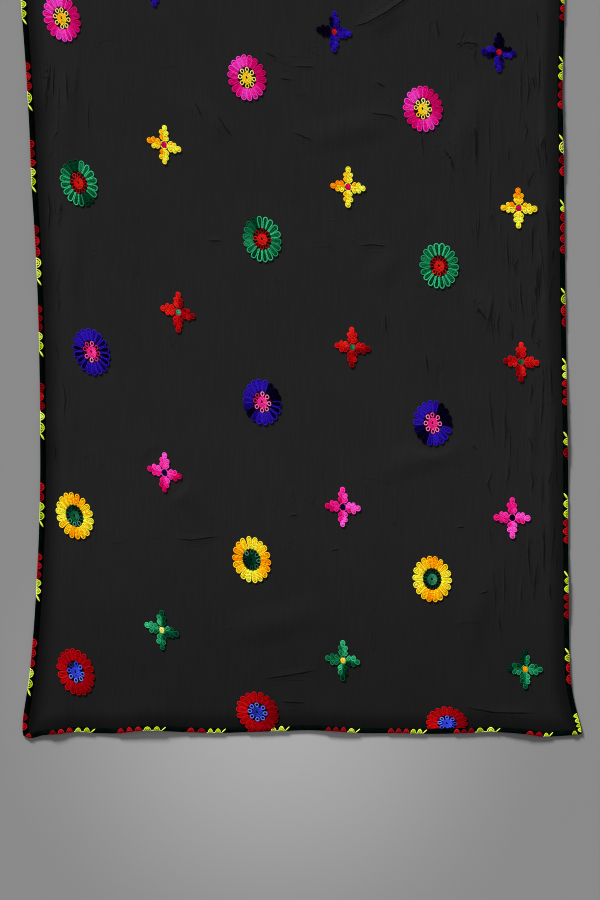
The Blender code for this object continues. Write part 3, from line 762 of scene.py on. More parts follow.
class CordWork:
    """Cords laid batch by batch, then made into one mesh."""

    def __init__(self):
        self.points, self.faces, self.corners, self.slots, self.shades = [], [], [], [], []
        self.count = 0

    def lay(self, centres, wide, high, shade, slot=0, closed=False, sides=8):
        """Lays cords whose centre lines are an array of paths, points and x, y, z. A
        point on one is centre + wide·cos(a)·beside + high·sin(a)·above."""
        amount, length = centres.shape[:2]
        if closed:
            run = unit(np.roll(centres, -1, axis=1) - np.roll(centres, 1, axis=1))
        else:
            run = unit(np.gradient(centres, axis=1))
        beside = unit(np.cross(run, (0.0, 0.0, 1.0)))
        above = np.cross(beside, run)
        turn = np.arange(sides) * tau / sides
        wide, high, shade = (
            np.broadcast_to(part, (amount, length))[..., None] for part in (wide, high, shade)
        )
        points = (
            centres[:, :, None]
            + (wide * np.cos(turn))[..., None] * beside[:, :, None]
            + (high * np.sin(turn))[..., None] * above[:, :, None]
        )
        numbers = numbered((amount, length, sides), self.count)
        following = np.roll(numbers, -1, axis=1) if closed else numbers[:, 1:]
        first = numbers[:, : following.shape[1]]
        quads = np.stack(
            [first, following, np.roll(following, -1, axis=2), np.roll(first, -1, axis=2)], axis=-1
        )
        hops = np.linalg.norm(np.diff(centres, axis=1, append=centres[:, :1]), axis=2) * MM
        reached = np.cumsum(hops, axis=1)
        spans = np.stack([reached - hops, reached, reached, reached - hops], axis=-1)
        corners = np.empty((*quads.shape, 2))
        corners[..., 0] = spans[:, : following.shape[1], None]
        corners[..., 1] = (np.arange(sides)[:, None] + (0, 0, 1, 1)) / sides
        self.keep_faces(quads.reshape(-1, 4), corners.reshape(-1, 4, 2), slot)
        if not closed:
            for cap in (numbers[:, 0], numbers[:, -1, ::-1]):
                self.keep_faces(cap, np.zeros((amount, sides, 2)), slot)
        # Painted shade on the sides and underside of each cord
        self.keep_points(points, shade - SIDE_PAINTED_SHADE * (1 - np.sin(turn)))

    def keep_faces(self, faces, corners, slot):
        self.faces.append(faces)
        self.corners.append(corners)
        self.slots.append(np.full(len(faces), slot))

    def keep_points(self, points, shade):
        self.points.append(points.reshape(-1, 3))
        self.shades.append(shade.ravel())
        self.count += shade.size

    def finish(self, name, finishes):
        points = np.vstack(self.points)
        assert np.isfinite(points).all(), f"{name} has a cord without a direction"
        shade = {"shade": np.clip(np.concatenate(self.shades), 0, 1)}
        slots = np.concatenate(self.slots)
        return make_piece(name, points, self.faces, self.corners, finishes, shade, slots)


# %% [markdown]
# ## Shaded thread
# The thread is dyed unevenly along its length, from dark to light, and the shade at each point of a
# cord picks its colour from a ramp. The cord is spun of plies: sine stripes that run slantwise round
# it make grooves, and painted shade makes them a little darker than the crests. Flecks are where
# single stitches catch the light. Its fibres scatter the shine, so hardly any mirror reflection is
# left, and painted shade makes the sides of a cord a little darker.

# %% Colours of the threads, from dark to light, as they look on a screen
Thread = namedtuple("Thread", "dark middle light fleck")
THREADS = {
    "red": Thread((108, 0, 8), (190, 6, 14), (234, 34, 26), 0.45),
    "yellow": Thread((255, 120, 0), (250, 204, 6), (240, 244, 70), 1.7),
    "blue": Thread((2, 2, 8), (30, 10, 132), (50, 24, 184), 0.20),
    "green": Thread((0, 40, 26), (10, 108, 64), (58, 190, 128), 0.45),
    "magenta": Thread((190, 0, 80), (230, 16, 136), (242, 74, 214), 0.45),
    "pink": Thread((204, 0, 80), (252, 30, 152), (255, 88, 216), 0.40),
    "heart_blue": Thread((16, 14, 70), (50, 70, 222), (122, 142, 255), 0.25),
    "heart_green": Thread((0, 32, 22), (14, 96, 62), (96, 194, 150), 0.25),
    "heart_pink": Thread((172, 0, 78), (252, 44, 148), (255, 156, 212), 0.25),
    "heart_red": Thread((112, 0, 8), (196, 14, 16), (240, 44, 24), 0.25),
    "heart_yellow": Thread((244, 150, 8), (250, 216, 30), (242, 240, 150), 0.30),
    "navy": Thread((2, 2, 10), (12, 12, 52), (40, 46, 170), 0.20),
    "crimson": Thread((150, 0, 60), (212, 0, 90), (236, 30, 120), 0.25),
    "lace_red": Thread((52, 0, 6), (160, 4, 18), (214, 24, 32), 0.45),
    "lace_yellow": Thread((96, 104, 0), (208, 236, 30), (240, 252, 96), 0.45),
    "lace_cream": Thread((150, 150, 90), (216, 220, 150), (240, 244, 196), 0.20),
}
PLY_TWIST, PLIES = 0.0026, 2
FLECK_SIZE, FIBRES = 0.0028, 4200.0


def thread_finish(name, thread):
    """The dye at the point's shade, with painted shade in the grooves between the plies."""
    finish = Finish(name, {
        "Specular IOR Level": 0.004, "Sheen Weight": 0.01, "Sheen Roughness": 0.35,
    })
    place = finish.own_place()
    shade = finish.value("shade") + (finish.noise(place, 1 / FLECK_SIZE) - 0.5) * thread.fleck
    dyed = finish.dyed(shade, (0.0, thread.dark), (0.5, thread.middle), (1.0, thread.light))
    along, turned = finish.apart(finish.flat_place())
    ply = (along * (tau / PLY_TWIST) + turned * (tau * PLIES)).sine()
    fibres = finish.noise(place, FIBRES)
    crest = 0.5 + ply * 0.5
    # Painted shade: the colour is darker in the grooves between the plies
    finish.feed(
        Base_Color=dyed.scaled(0.80 + crest * 0.24 + fibres * 0.08),
        Roughness=0.62 - crest * 0.16,
        Normal=finish.bump(crest + fibres * 0.4, 0.00035, 0.7),
    )
    return finish.material


threads = {name: thread_finish(name, thread) for name, thread in THREADS.items()}
print(f"{len(threads)} thread colours")

# %% [markdown]
# ## The flowers
# A flower is drawn with one cord that never ends: it runs out along a petal, round its
# tip, back to the middle and on to the next, eighteen times. A second, closed loop and
# a short bar fill each petal. In the middle is a coil of another colour with eight small
# eyes round it. It is worked out on a round flower and then squeezed into its oval.

# %% Sizes of a flower's cords, in mm on a round flower
PETALS, EYES = 18, 8
ROUND = 37.0
CORD, CORD_HIGH = 1.12, 1.0
PETAL_ROOT, PETAL_TURN = 18.4, 17.4
PETAL_ROOT_HALF, PETAL_TIP_HALF = 2.2, 4.0
FILL_FROM, FILL_SHORT, FILL_HALF = 17.9, 3.2, 2.3
BAR_FROM, BAR_SHORT, BAR_HALF = 20.3, 4.3, (0.8, 0.95, 1.15, 1.4, 1.35)
EYE_RING, EYE_LONG, EYE_HALF, EYE_CORD = 12.8, 3.4, 2.95, 0.95
COIL_RAISED = 0.35
# The middle and the scatter of each dye's gain, and how much each measure scatters
RIM_GAIN, FILL_GAIN = (1.2, 0.1), (0.9, 0.12)
TURN_SCATTER, LENGTH_SCATTER, BREADTH_SCATTER, HEIGHT_SCATTER = 0.014, 0.016, 0.05, 0.06
EYE_SCATTER = 0.04
COIL_INNER, COIL_OUTER, COIL_TURNS = 1.9, 9.4, 3.8


def petal_outline():
    """Out and aside along one petal: a leg that widens, a half circle at the tip, the
    other leg, and the tight turn between two petals."""
    tip = ROUND - CORD - PETAL_TIP_HALF
    leg = np.linspace(0, 1, 6)[:-1]
    out = PETAL_ROOT + (tip - PETAL_ROOT) * leg
    aside = PETAL_ROOT_HALF + (PETAL_TIP_HALF - PETAL_ROOT_HALF) * np.sin(leg * pi / 2)
    arc = np.linspace(-pi / 2, pi / 2, 9)
    outs = np.concatenate([out, tip + PETAL_TIP_HALF * np.cos(arc), out[::-1], [PETAL_TURN]])
    asides = np.concatenate([-aside, PETAL_TIP_HALF * np.sin(arc), aside[::-1], [0]])
    return outs, asides


def teardrop(start, end, half, count, blunt=0.35):
    """Out and aside round a closed loop whose far end is the wider one."""
    turn = np.arange(count) * tau / count
    out = (start + end) / 2 - (end - start) / 2 * np.cos(turn)
    return out, half * np.sin(turn) * (1 - blunt * np.cos(turn)) / (1 + blunt**2 / 2)


def around(outs, asides, turns):
    """Turns shapes given as out and aside to their place round a middle, clockwise
    from the top."""
    outs, asides, turns = np.broadcast_arrays(outs, asides, turns)
    x = outs * np.sin(turns) + asides * np.cos(turns)
    y = outs * np.cos(turns) - asides * np.sin(turns)
    return np.stack([x, y], axis=-1)


def lay_on_cloth(plane, height, motif):
    """Puts points given along the weft and the warp on the cloth, which ramps up
    towards the hems."""
    weft, warp = plane[..., 0], plane[..., 1]
    x = motif.x + weft * cos(motif.tilt)
    y = motif.y + warp - weft * sin(motif.tilt)
    depth = np.minimum(y - np.interp(x, *paths["near"].T), np.interp(x, *paths["far"].T) - y)
    climb = smooth_step(-depth, -RAMP_START - 1, 1 - BINDING_WIDTH)
    over = (BINDING_HEIGHT - WALL - EDGE_RISE) * climb
    return np.stack([x, y, edge_ramp(depth) + WALL + over + height], axis=-1)


# %% [markdown]
# ## How the dye runs round each flower
# No two flowers are alike: the dye changes every few petals, and the filling can be
# darker than the outline beside it. Each row below is one flower that shows closely. It
# gives the shade of outline and filling at some hours of a clock face, and the shades of
# the coil and of the eyes round it. Flowers further up take a row from another column.

# %% The dye by the clock, for each colour in each of the three columns
# A dye's petals are rows of hour, outline and filling, and its eyes rows of hour and shade
Dye = namedtuple("Dye", "petals coil eyes")
FLOWER_THREADS = [
    ("red", "heart_blue"), ("yellow", "heart_green"), ("blue", "heart_pink"),
    ("green", "heart_red"), ("magenta", "heart_yellow"),
]
FLOWER_DYES = {
    "red": [
        Dye([(0, .38, .3), (3, .28, .2), (6, .28, .2), (8, .6, .5), (10, .38, .3)],
            .5, [(1, .8), (3, .75), (5, .9), (8, .85), (10, .15), (11.3, .2)]),
        Dye([(0, .42, .35), (3, .08, .02), (6, .25, .18), (9, .58, .5)],
            .3, [(0, .85), (4, .8), (8, .9)]),
        Dye([(0, .42, .35), (3, .08, .02), (6, .28, .18), (9, .52, .45)],
            .5, [(0, .85), (3, .5), (6, .5), (9, .9)]),
    ],
    "yellow": [
        Dye([(0.2, .2, .1), (1.6, .6, .5), (3, 1, .9), (6, .2, .15), (9, .95, .85)],
            .5, [(0, .15), (3, .45), (5, .85), (7, .85), (9, .3)]),
        Dye([(0.3, .95, .85), (3.2, .15, .05), (6.2, 1, .9), (9.3, .15, .05)],
            .1, [(0, .5), (2, .65), (3.5, .85), (5, .5), (7, .1), (9, .15), (10.6, .85)]),
        Dye([(0.2, .2, .1), (3, .95, .85), (6.2, .2, .15), (9, 1, .9)],
            .65, [(0, .15), (3, .3), (6, .15), (9, .2)]),
    ],
    "blue": [
        Dye([(0, .8, .75), (1, .75, .25), (2, .7, 0), (4, .7, .05), (5, .8, .75), (6, .8, .75),
            (7, .65, .1), (9, .7, 0), (9.8, .75, .7), (11, .85, .8)],
            .5, [(0, .75), (2, .15), (4, .2), (5.5, .9), (6.5, .9), (8, .6), (9.5, .1)]),
        Dye([(0.4, .8, .6), (1, .1, 0), (2.6, 0, 0), (3.2, .7, 0), (4.4, .7, .1), (5, .8, .75),
            (6.8, .8, .7), (7.4, .05, 0), (8, .1, 0), (8.7, .75, .7)],
            .5, [(0, .85), (4, .8), (6, .8), (8, .7), (9.5, .1), (10.7, .15)]),
        Dye([(0.2, .85, .8), (1, 0, 0), (3, .05, 0), (3.6, .75, .7), (6.2, .85, .8), (6.9, .05, 0),
            (8.2, .05, 0), (8.8, .8, .75), (11, .85, .8)],
            .45, [(0, .6), (2, .75), (4, .85), (6, .7), (8, .75), (10, .9)]),
    ],
    "green": [
        Dye([(0.3, .75, .6), (1.5, .9, .5), (3.6, .75, .5), (4.2, .15, .05), (5.3, .1, 0),
            (6, .9, .2), (8, .8, .45), (9.8, .75, .4), (10.5, .1, 0), (11.7, .1, .05)],
            .7, [(0, .4), (3, .25), (6, .3), (9, .4), (10.5, .65)]),
        Dye([(0, .9, .2), (1, .8, .3), (3, .62, .7), (4.5, .7, .4), (6, .85, .05), (7, .8, .1),
            (8.5, .6, .7), (10, .5, .4), (11, .15, .05)],
            .75, [(0, .2), (3, .3), (6, .35), (9, .6), (10.5, .3)]),
        Dye([(0, .9, .1), (1, .75, .4), (3, .6, .65), (4.5, .7, .5), (6, .9, .05), (7, .85, .1),
            (9, .58, .65), (10.5, .55, .5)],
            .7, [(0, .3), (3, .3), (5, .6), (7, .85), (9, .3)]),
    ],
    "magenta": [
        Dye([(0, .8, .7), (1.5, .35, .2), (3, .2, .1), (4.5, .55, .4), (6, .95, .85),
            (7.5, .35, .2), (9, .8, .6), (11, .9, .85)],
            .35, [(0, .85), (6, .8)]),
        Dye([(0, .7, .6), (1, .3, .15), (3, .15, .05), (4.5, .65, .5), (6, .9, .8), (8, .25, .1),
            (9.5, .75, .6), (11, .95, .85)],
            .5, [(0, .9), (3, .8), (6, .6), (9, .9)]),
        Dye([(0, .5, .4), (1, .2, .1), (3, .15, .1), (5, .9, .8), (6, .65, .5), (7.5, .2, .1),
            (9, .65, .6), (10.5, .95, .85)],
            .55, [(0, .9), (5, .85), (7, .35), (8.5, .4), (10, .9)]),
    ],
}
HOURS = 12


def by_the_clock(entries, turns):
    """Each column of a table of hours, read at the given turns and joined up past 12."""
    table = np.array(entries, float)
    hours = np.mod(turns * HOURS / tau, HOURS)
    return [np.interp(hours, table[:, 0], column, period=HOURS) for column in table[:, 1:].T]


# %% Lay one flower
def lay_flower(work, motif, dye, random):
    """The one long petal cord, then the loops and bars that fill it, the eyes and the
    coil, each worked out round the middle and squeezed into the oval."""
    squeeze = motif.half / ROUND
    turns = (np.arange(PETALS) + 0.5) * tau / PETALS + random.normal(0, TURN_SCATTER, PETALS)
    rim, fill = by_the_clock(dye.petals, turns)
    rim = rim * random.normal(*RIM_GAIN, PETALS)
    fill = (fill * random.normal(*FILL_GAIN, PETALS))[:, None]
    longer = random.normal(1, LENGTH_SCATTER, PETALS)[:, None]
    broader = random.normal(1, BREADTH_SCATTER, PETALS)[:, None]

    def drawn_out(out):
        """Each petal has a length of its own past its root."""
        return PETAL_ROOT + (out - PETAL_ROOT) * longer

    def laid(out, aside, turned, height):
        return lay_on_cloth(around(out, aside, turned) * squeeze, height, motif)

    outs, asides = petal_outline()
    past_root = outs > PETAL_ROOT
    turned = np.repeat(turns[:, None], len(outs), axis=1)
    turned[:, -1] = (np.arange(PETALS) + 1) * tau / PETALS
    height = CORD_HIGH + 0.05 + random.normal(0, HEIGHT_SCATTER, turned.shape)
    asides = asides * np.where(past_root, broader, 1)
    path = laid(np.where(past_root, drawn_out(outs), outs), asides, turned, height)
    shade = np.repeat(rim, len(outs))[None]
    work.lay(path.reshape(1, -1, 3), CORD, CORD_HIGH, shade, closed=True)

    turns = turns[:, None]
    out, aside = teardrop(FILL_FROM, ROUND - FILL_SHORT * CORD, FILL_HALF, 14, 0.5)
    path = laid(drawn_out(out), aside * broader, turns, CORD_HIGH - 0.1)
    work.lay(path, CORD, CORD_HIGH, fill, closed=True)
    out = np.linspace(BAR_FROM, ROUND - BAR_SHORT * CORD, len(BAR_HALF))
    path = laid(drawn_out(out), 0.0, turns, CORD_HIGH - 0.05)
    work.lay(path, np.array([BAR_HALF]), CORD_HIGH, fill + 0.06)

    turns = np.arange(EYES) * tau / EYES + random.normal(0, EYE_SCATTER, EYES)
    (shade,) = by_the_clock(dye.eyes, turns)
    shade = shade[:, None] + random.normal(0, EYE_SCATTER, (EYES, 1))
    out, aside = teardrop(EYE_RING - EYE_LONG, EYE_RING + EYE_LONG, EYE_HALF, 12, 0.25)
    path = laid(out, aside, turns[:, None], CORD_HIGH)
    work.lay(path, EYE_CORD, CORD_HIGH, shade, 1, closed=True)
    lay_coil(work, motif, COIL_INNER, COIL_OUTER, COIL_TURNS, squeeze, dye.coil, 56)


def lay_coil(work, motif, inner, outer, rounds, squeeze, shade, count):
    """A cord wound outwards from the middle, a little raised there. Its radius grows
    evenly with the turn."""
    share = np.linspace(0, 1, count)
    turn = share * rounds * tau
    plane = around(inner + (outer - inner) * share, 0.0, turn) * squeeze
    path = lay_on_cloth(plane, CORD_HIGH + COIL_RAISED * (1 - share), motif)[None]
    tapered = CORD * np.minimum(1, 0.35 + 8 * (1 - share))
    work.lay(path, tapered[None], CORD_HIGH, shade + 0.1 * np.sin(turn)[None], 1)


# %% [markdown]
# ## Cutting a flower at the hem
# Three flowers run under the lace. Their cords are finished first and then cut by a
# plane along the lace's inner edge, and each cut cord is closed again, as a solid one
# would be.

# %% Cut along the lace
def cut_at_hem(piece, motif):
    """Cuts by an upright plane and fills the holes. The plane is parallel to the hem
    beside the flower, and as far in from it as the flower's own cut says."""
    path = paths[motif.cut]
    across = motif.x + np.array([-1, 1]) * motif.half[0]
    ends = np.column_stack([across, np.interp(across, *path.T)])
    run = unit(ends[1] - ends[0]) * (1 if motif.cut == "near" else -1)
    outward = np.array([run[1], -run[0]])
    spot = (ends.mean(axis=0) - outward * OWN_CUTS.get(motif.name, FLOWER_CUT) - MIDDLE) * MM
    shape = bmesh.new()
    shape.from_mesh(piece.data)
    bmesh.ops.bisect_plane(
        shape, geom=shape.verts[:] + shape.edges[:] + shape.faces[:], dist=1e-7,
        plane_co=(*spot, 0), plane_no=(*outward, 0), clear_outer=True,
    )
    rim = [edge for edge in shape.edges if edge.is_boundary]
    bmesh.ops.holes_fill(shape, edges=rim, sides=0)
    shape.to_mesh(piece.data)
    shape.free()


# %% [markdown]
# ## The crosses
# Each of the four arms is a spray of small loops: one at the tip and two pairs at its
# sides, each filled with a short bar, along a rib. The dye changes along an arm, so an
# arm has a shade at its tip and one at its root. A raised coil in a bright thread sits
# in the middle, with a thin ring round it.

# %% The loops of one arm, in mm from the cross's middle, and the dye of each cross
Spray = namedtuple("Spray", "root aside degrees length width")
ARM_LENGTH = 35.2
SPRAYS = [
    Spray(22.4, 0.0, 0, 13.8, 10.8),
    Spray(16.6, 1.3, 40, 11.2, 8.9), Spray(16.6, -1.3, -40, 11.2, 8.9),
    Spray(7.4, 1.3, 36, 11.8, 8.7), Spray(7.4, -1.3, -36, 11.8, 8.7),
]
SPRAY_CORD = 1.0
TIP_RAISED, BAR_LOWERED = 0.25, 0.15
# How much each loop's lean, size and shade scatter
LEAN_SCATTER, SIZE_SCATTER, SHADE_SCATTER = 0.07, 0.05, 0.14
RING_OUT, RING_CORD, RING_HIGH = 0.75, 0.85, 0.8
SPRAY_BAR = (0.35, 0.7, 0.95, 1.0, 0.6)
RIB_ENDS, RIB_HALF = (5.6, 25.0), (2.6, 2.4, 1.9, 1.5, 1.3, 1.1, 0.7)
HEART_HALF, HEART_TURNS = (5.3, 5.8), 2.6

# A cross's arms are the top, right, bottom and left one: shade at tip, at root, and how
# much lighter the loops on one side are than on the other
Cross = namedtuple("Cross", "arms heart")
CROSS_THREADS = [
    ("green", "heart_yellow"), ("pink", "navy"), ("red", "heart_green"),
    ("yellow", "crimson"), ("blue", "heart_red"),
]
CROSS_DYES = {
    "green": [
        Cross([(.35, .7, -.3), (.2, .45, -.2), (.7, .4, .2), (.85, .6, .1)], .8),
        Cross([(.7, .5, .2), (.75, .2, -.35), (.05, .7, .3), (.5, .4, .2)], .6),
        Cross([(.0, .55, .25), (.5, .75, .1), (.55, .5, -.25), (.15, .6, -.2)], .1),
    ],
    "pink": [
        Cross([(.9, .5, .15), (.2, .9, -.25), (.1, .8, -.2), (.35, .6, .25)], .5),
        Cross([(.7, .3, .15), (.85, .7, -.25), (.9, .2, -.3), (.2, .6, .2)], .4),
        Cross([(.2, .5, .2), (.95, .5, -.2), (.85, .75, -.15), (.3, .5, .2)], .0),
    ],
    "red": [
        Cross([(.5, .6, -.2), (.25, .4, .1), (.35, .55, .2), (.9, .7, -.1)], .75),
        Cross([(.8, .6, -.2), (.35, .5, -.1), (.3, .35, .1), (.85, .7, .15)], .6),
        Cross([(.8, .3, .1), (.75, .6, -.15), (.4, .7, -.2), (.4, .6, -.15)], .5),
    ],
    "yellow": [
        Cross([(.95, .5, .3), (1., .75, .1), (.95, .3, -.3), (.2, .6, -.2)], .5),
        Cross([(.9, .5, .3), (1., .7, .15), (.95, .6, -.2), (.15, .6, -.25)], .6),
        Cross([(.1, .75, .1), (.95, .6, .25), (1., .75, .1), (.85, .4, -.2)], .5),
    ],
    "blue": [
        Cross([(.7, .4, .3), (.8, .2, 0), (.75, .6, -.2), (.1, .3, 0)], .6),
        Cross([(.5, .2, .45), (.85, .5, 0), (.8, .4, -.2), (-.3, 0, -.1)], .55),
        Cross([(-.35, -.1, -.1), (.45, .1, .5), (.7, .3, .2), (.6, .2, .4)], .5),
    ],
}


# %% Lay one cross
def lay_cross(work, motif, dye, random):
    """Each loop is laid on all four arms at once, then come the ribs, coil and ring."""
    squeeze = motif.half / ARM_LENGTH
    quarters = np.arange(4)[:, None] * tau / 4
    tip, root, side = np.array(dye.arms).T[:, :, None]
    for spray in SPRAYS:
        lean = radians(spray.degrees) + random.normal(0, LEAN_SCATTER, (4, 1))
        size = random.normal(1, SIZE_SCATTER, (4, 1))
        shade = blend(root, tip, spray.root / SPRAYS[0].root) + side * np.sign(spray.degrees)
        shade = shade + random.normal(0, SHADE_SCATTER, (4, 1))

        def laid(out, aside, height):
            """A loop's own out and aside, leant over and set on its arm."""
            outs = spray.root + size * (out * np.cos(lean) - aside * np.sin(lean))
            asides = spray.aside + size * (out * np.sin(lean) + aside * np.cos(lean))
            return lay_on_cloth(around(outs, asides, quarters) * squeeze, height, motif)

        half = spray.width / 2 - SPRAY_CORD
        height = CORD_HIGH + (0.0 if spray.degrees else TIP_RAISED)
        out, aside = teardrop(SPRAY_CORD, spray.length - SPRAY_CORD, half, 13)
        work.lay(laid(out, aside, height), SPRAY_CORD, CORD_HIGH, shade + 0.12, closed=True)
        out = np.linspace(2.2, spray.length - 2.4 * SPRAY_CORD, len(SPRAY_BAR))
        broad = (half - 0.35) * np.array([SPRAY_BAR])
        work.lay(laid(out, 0 * out, height - BAR_LOWERED), broad, CORD_HIGH, shade - 0.15)
    plane = around(np.linspace(*RIB_ENDS, len(RIB_HALF)), 0.0, quarters) * squeeze
    path = lay_on_cloth(plane, CORD_HIGH + 0.1, motif)
    work.lay(path, np.array([RIB_HALF]), CORD_HIGH, (tip + root) / 2)
    oval = np.array(HEART_HALF) / HEART_HALF[1]
    lay_coil(work, motif, 0.9, HEART_HALF[1] - 0.9, HEART_TURNS, oval, dye.heart, 36)
    ring = np.arange(24) * tau / 24
    plane = around(HEART_HALF[1] + RING_OUT, 0.0, ring)[None] * oval
    path = lay_on_cloth(plane, CORD_HIGH, motif)
    work.lay(path, RING_CORD, RING_HIGH, root.mean() + 0.25, closed=True)


# %% Make all the motifs
MAKERS = {
    "flower": (lay_flower, FLOWER_THREADS, FLOWER_DYES),
    "cross": (lay_cross, CROSS_THREADS, CROSS_DYES),
}
for motif in motifs:
    lay_motif, pairs, dyes = MAKERS[motif.kind]
    colour, heart = pairs[motif.row % len(pairs)]
    dye = dyes[colour][(motif.column + motif.row // len(pairs)) % 3]
    work = CordWork()
    lay_motif(work, motif, dye, np.random.default_rng([motif.column, motif.row, len(motif.kind)]))
    piece = work.finish(f"cord_{motif.name}", [threads[colour], threads[heart]])
    if motif.cut:
        cut_at_hem(piece, motif)
    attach(piece, "root")
    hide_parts(motif.name)

# %% [markdown]
# ## The lace binding
# The lace is a dark strip with looped mounds stitched on it, folded round the cloth's
# edge. Going round the cloth, three red mounds come first, then one or two yellow ones
# with a slanting leaf, and then the strip is bare for a hand's breadth. The strip is a
# section in the shape of a C carried along the edge, and the mounds are cords.

# %% Where the colours of the lace change, in mm along each edge
Run = namedtuple("Run", "red yellow dark")
RUNS = {
    "left": [
        (39, 7, 7), (166, 115, 68), (312, 267, 229), (433, 399, 356), (603, 555, 505),
        (736, 690, 647), (873, 817, 769), (1019, 971, 928), (1152, 1101, 1067), (1308, 1258, 1215),
    ],
    "right": [
        (86, 125, 149), (199, 243, 281), (327, 370, 414), (471, 495, 519), (563, 609, 645),
        (697, 736, 765), (822, 895, 916), (955, 993, 1027), (1070, 1120, 1161), (1221, 1250, 1276),
    ],
    "near": [
        (-433, -390, -354), (-317, -272, -233), (-199, -163, -130), (-94, -55, -21), (39, 77, 99),
        (146, 185, 214), (259, 296, 339), (382, 413, 430),
    ],
    "far": [(470, 440, 412)],
}
LACE_COLOURS = ["binding", "lace_red", "lace_yellow", "lace_cream"]
STRIP, RED, YELLOW, CREAM = range(4)
# More mounds at the corners: their colour, from and to along the edge, and how many
CORNER_MOUNDS = {
    "right": [(YELLOW, 5, 38, 4)], "near": [(YELLOW, 461, 473, 1), (RED, -475, -461, 1)],
}
# Pitch of the mounds, run of a leaf, height of the mounds, their width as a share of the
# pitch before they flare, and where the last repeat may start
Trim = namedtuple("Trim", "pitch leaf height share last_start")
TRIMS = {
    "left": Trim(17.0, 11.0, 6.6, 0.62, 2210), "right": Trim(17.0, 10.0, 6.4, 0.62, 2140),
    "near": Trim(14.4, 7.0, 6.2, 0.50, 0), "far": Trim(14.4, 7.0, 6.2, 0.50, 370),
}
LACE_REPEAT, LEAST_ROOM = 139, 6
LACE_CORD, LACE_HIGH, LACE_SIDES = 0.9, 0.75, 6
MOUND_BARS, MOUND_SHADES = (-0.55, 0.0, 0.5), (0.45, 1.05)
TALL_SCATTER, HALF_SCATTER, BAR_SCATTER = 0.09, 0.07, 0.05
LONG_LEAF, LONG_BROAD, SHORT_BROAD = 8, 1.45, 0.75


def further_runs(edge, random):
    """The same repeat goes on past the runs listed, a little unevenly."""
    found = [Run(*row) for row in RUNS[edge]]
    way = -1 if edge == "far" else 1
    turn = -1 if edge in ("left", "far") else 1
    while way * found[-1].red + LACE_REPEAT < TRIMS[edge].last_start:
        start = found[-1].red + way * LACE_REPEAT * random.uniform(0.93, 1.07)
        yellow = start + turn * random.uniform(44, 52)
        found.append(Run(start, yellow, yellow + turn * random.uniform(32, 44)))
    return found


# %% Finish of the dark strip
RIB_PITCH, SATIN_STREAKS = 0.0009, (60.0, 900.0, 1.0)


def strip_finish():
    """Nearly black satin: fine ribs along the strip, and streaks in tone and shine."""
    finish = Finish("binding", {
        "Specular IOR Level": 0.006, "Sheen Weight": 0.0, "Sheen Roughness": 0.4,
    })
    place = finish.flat_place()
    ribs = (finish.apart(place)[1] * (tau / RIB_PITCH)).sine()
    streaks = finish.noise(finish.stretched(place, SATIN_STREAKS), 1.0, 3.0)
    finish.feed(
        Base_Color=finish.dyed(streaks, (0.4, (0, 2, 2)), (0.8, (2, 20, 14))),
        Roughness=0.48 + streaks * 0.2,
        Normal=finish.bump(ribs * 0.5 + streaks * 0.4, 0.0003, 0.7),
    )
    return finish.material


threads["binding"] = strip_finish()

# %% Shapes of the lace
STRIP_WALL, STRIP_DIP = 0.95, 0.2


def strip_section():
    """The folded strip's section, how far in and how high: a half round outside the
    fold and a smaller one inside it."""
    half = BINDING_HEIGHT / 2
    outer = np.linspace(-pi / 2, pi / 2, 9)
    inner = outer[::-2]
    deep = np.concatenate([
        [BINDING_WIDTH], half - half * np.cos(outer), [BINDING_WIDTH, BINDING_WIDTH],
        half - (half - STRIP_WALL) * np.cos(inner), [BINDING_WIDTH],
    ])
    high = np.concatenate([
        [0], half + half * np.sin(outer), [BINDING_HEIGHT - STRIP_DIP, BINDING_HEIGHT - STRIP_WALL],
        half + (half - STRIP_WALL) * np.sin(inner), [STRIP_WALL],
    ])
    return deep, high


def lay_strip(work, edge):
    """Carries the section along the edge. The ends are mitred at the corners."""
    deep, high = strip_section()
    path, lift = paths[edge], lifts[edge]
    plane = path[:, None] + steps[edge][:, None] * deep[None, :, None]
    points = np.dstack([plane, lift[:, None] + high])
    numbers = numbered(points.shape[:2])
    hops = np.linalg.norm(np.diff(path, axis=0, prepend=path[:1]), axis=1)
    sides = np.hypot(np.diff(deep, append=deep[0]), np.diff(high, append=high[0]))
    section = np.concatenate([[0], np.cumsum(sides)])
    flat = np.stack(np.broadcast_arrays(np.cumsum(hops)[:, None], section), axis=-1) * MM
    # The way in lies at the other hand on two of the edges, so their faces run backwards
    flip = -1 if edge in ("near", "right") else 1
    faces = grid_faces(np.column_stack([numbers, numbers[:, 0]]))[:, ::flip]
    corners = grid_faces(numbered(flat.shape[:2]))[:, ::flip]
    caps = np.stack([numbers[0], numbers[-1, ::-1]])[:, ::flip]
    work.keep_faces(faces, flat.reshape(-1, 2)[corners], STRIP)
    work.keep_faces(caps, np.zeros((*caps.shape, 2)), STRIP)
    work.keep_points(points, np.zeros(numbers.size))


def on_strip(edge, along, deep, high):
    """Points so far along an edge, so far in from the fold, and so far above the strip."""
    at = paths[edge][:, AXIS[edge]]
    along, deep, high = np.broadcast_arrays(along, deep, high)
    x, y, step_x, step_y, lift = (
        np.interp(along, at, column) for column in (*paths[edge].T, *steps[edge].T, lifts[edge])
    )
    return np.stack([x + deep * step_x, y + deep * step_y, lift + BINDING_HEIGHT + high], axis=-1)


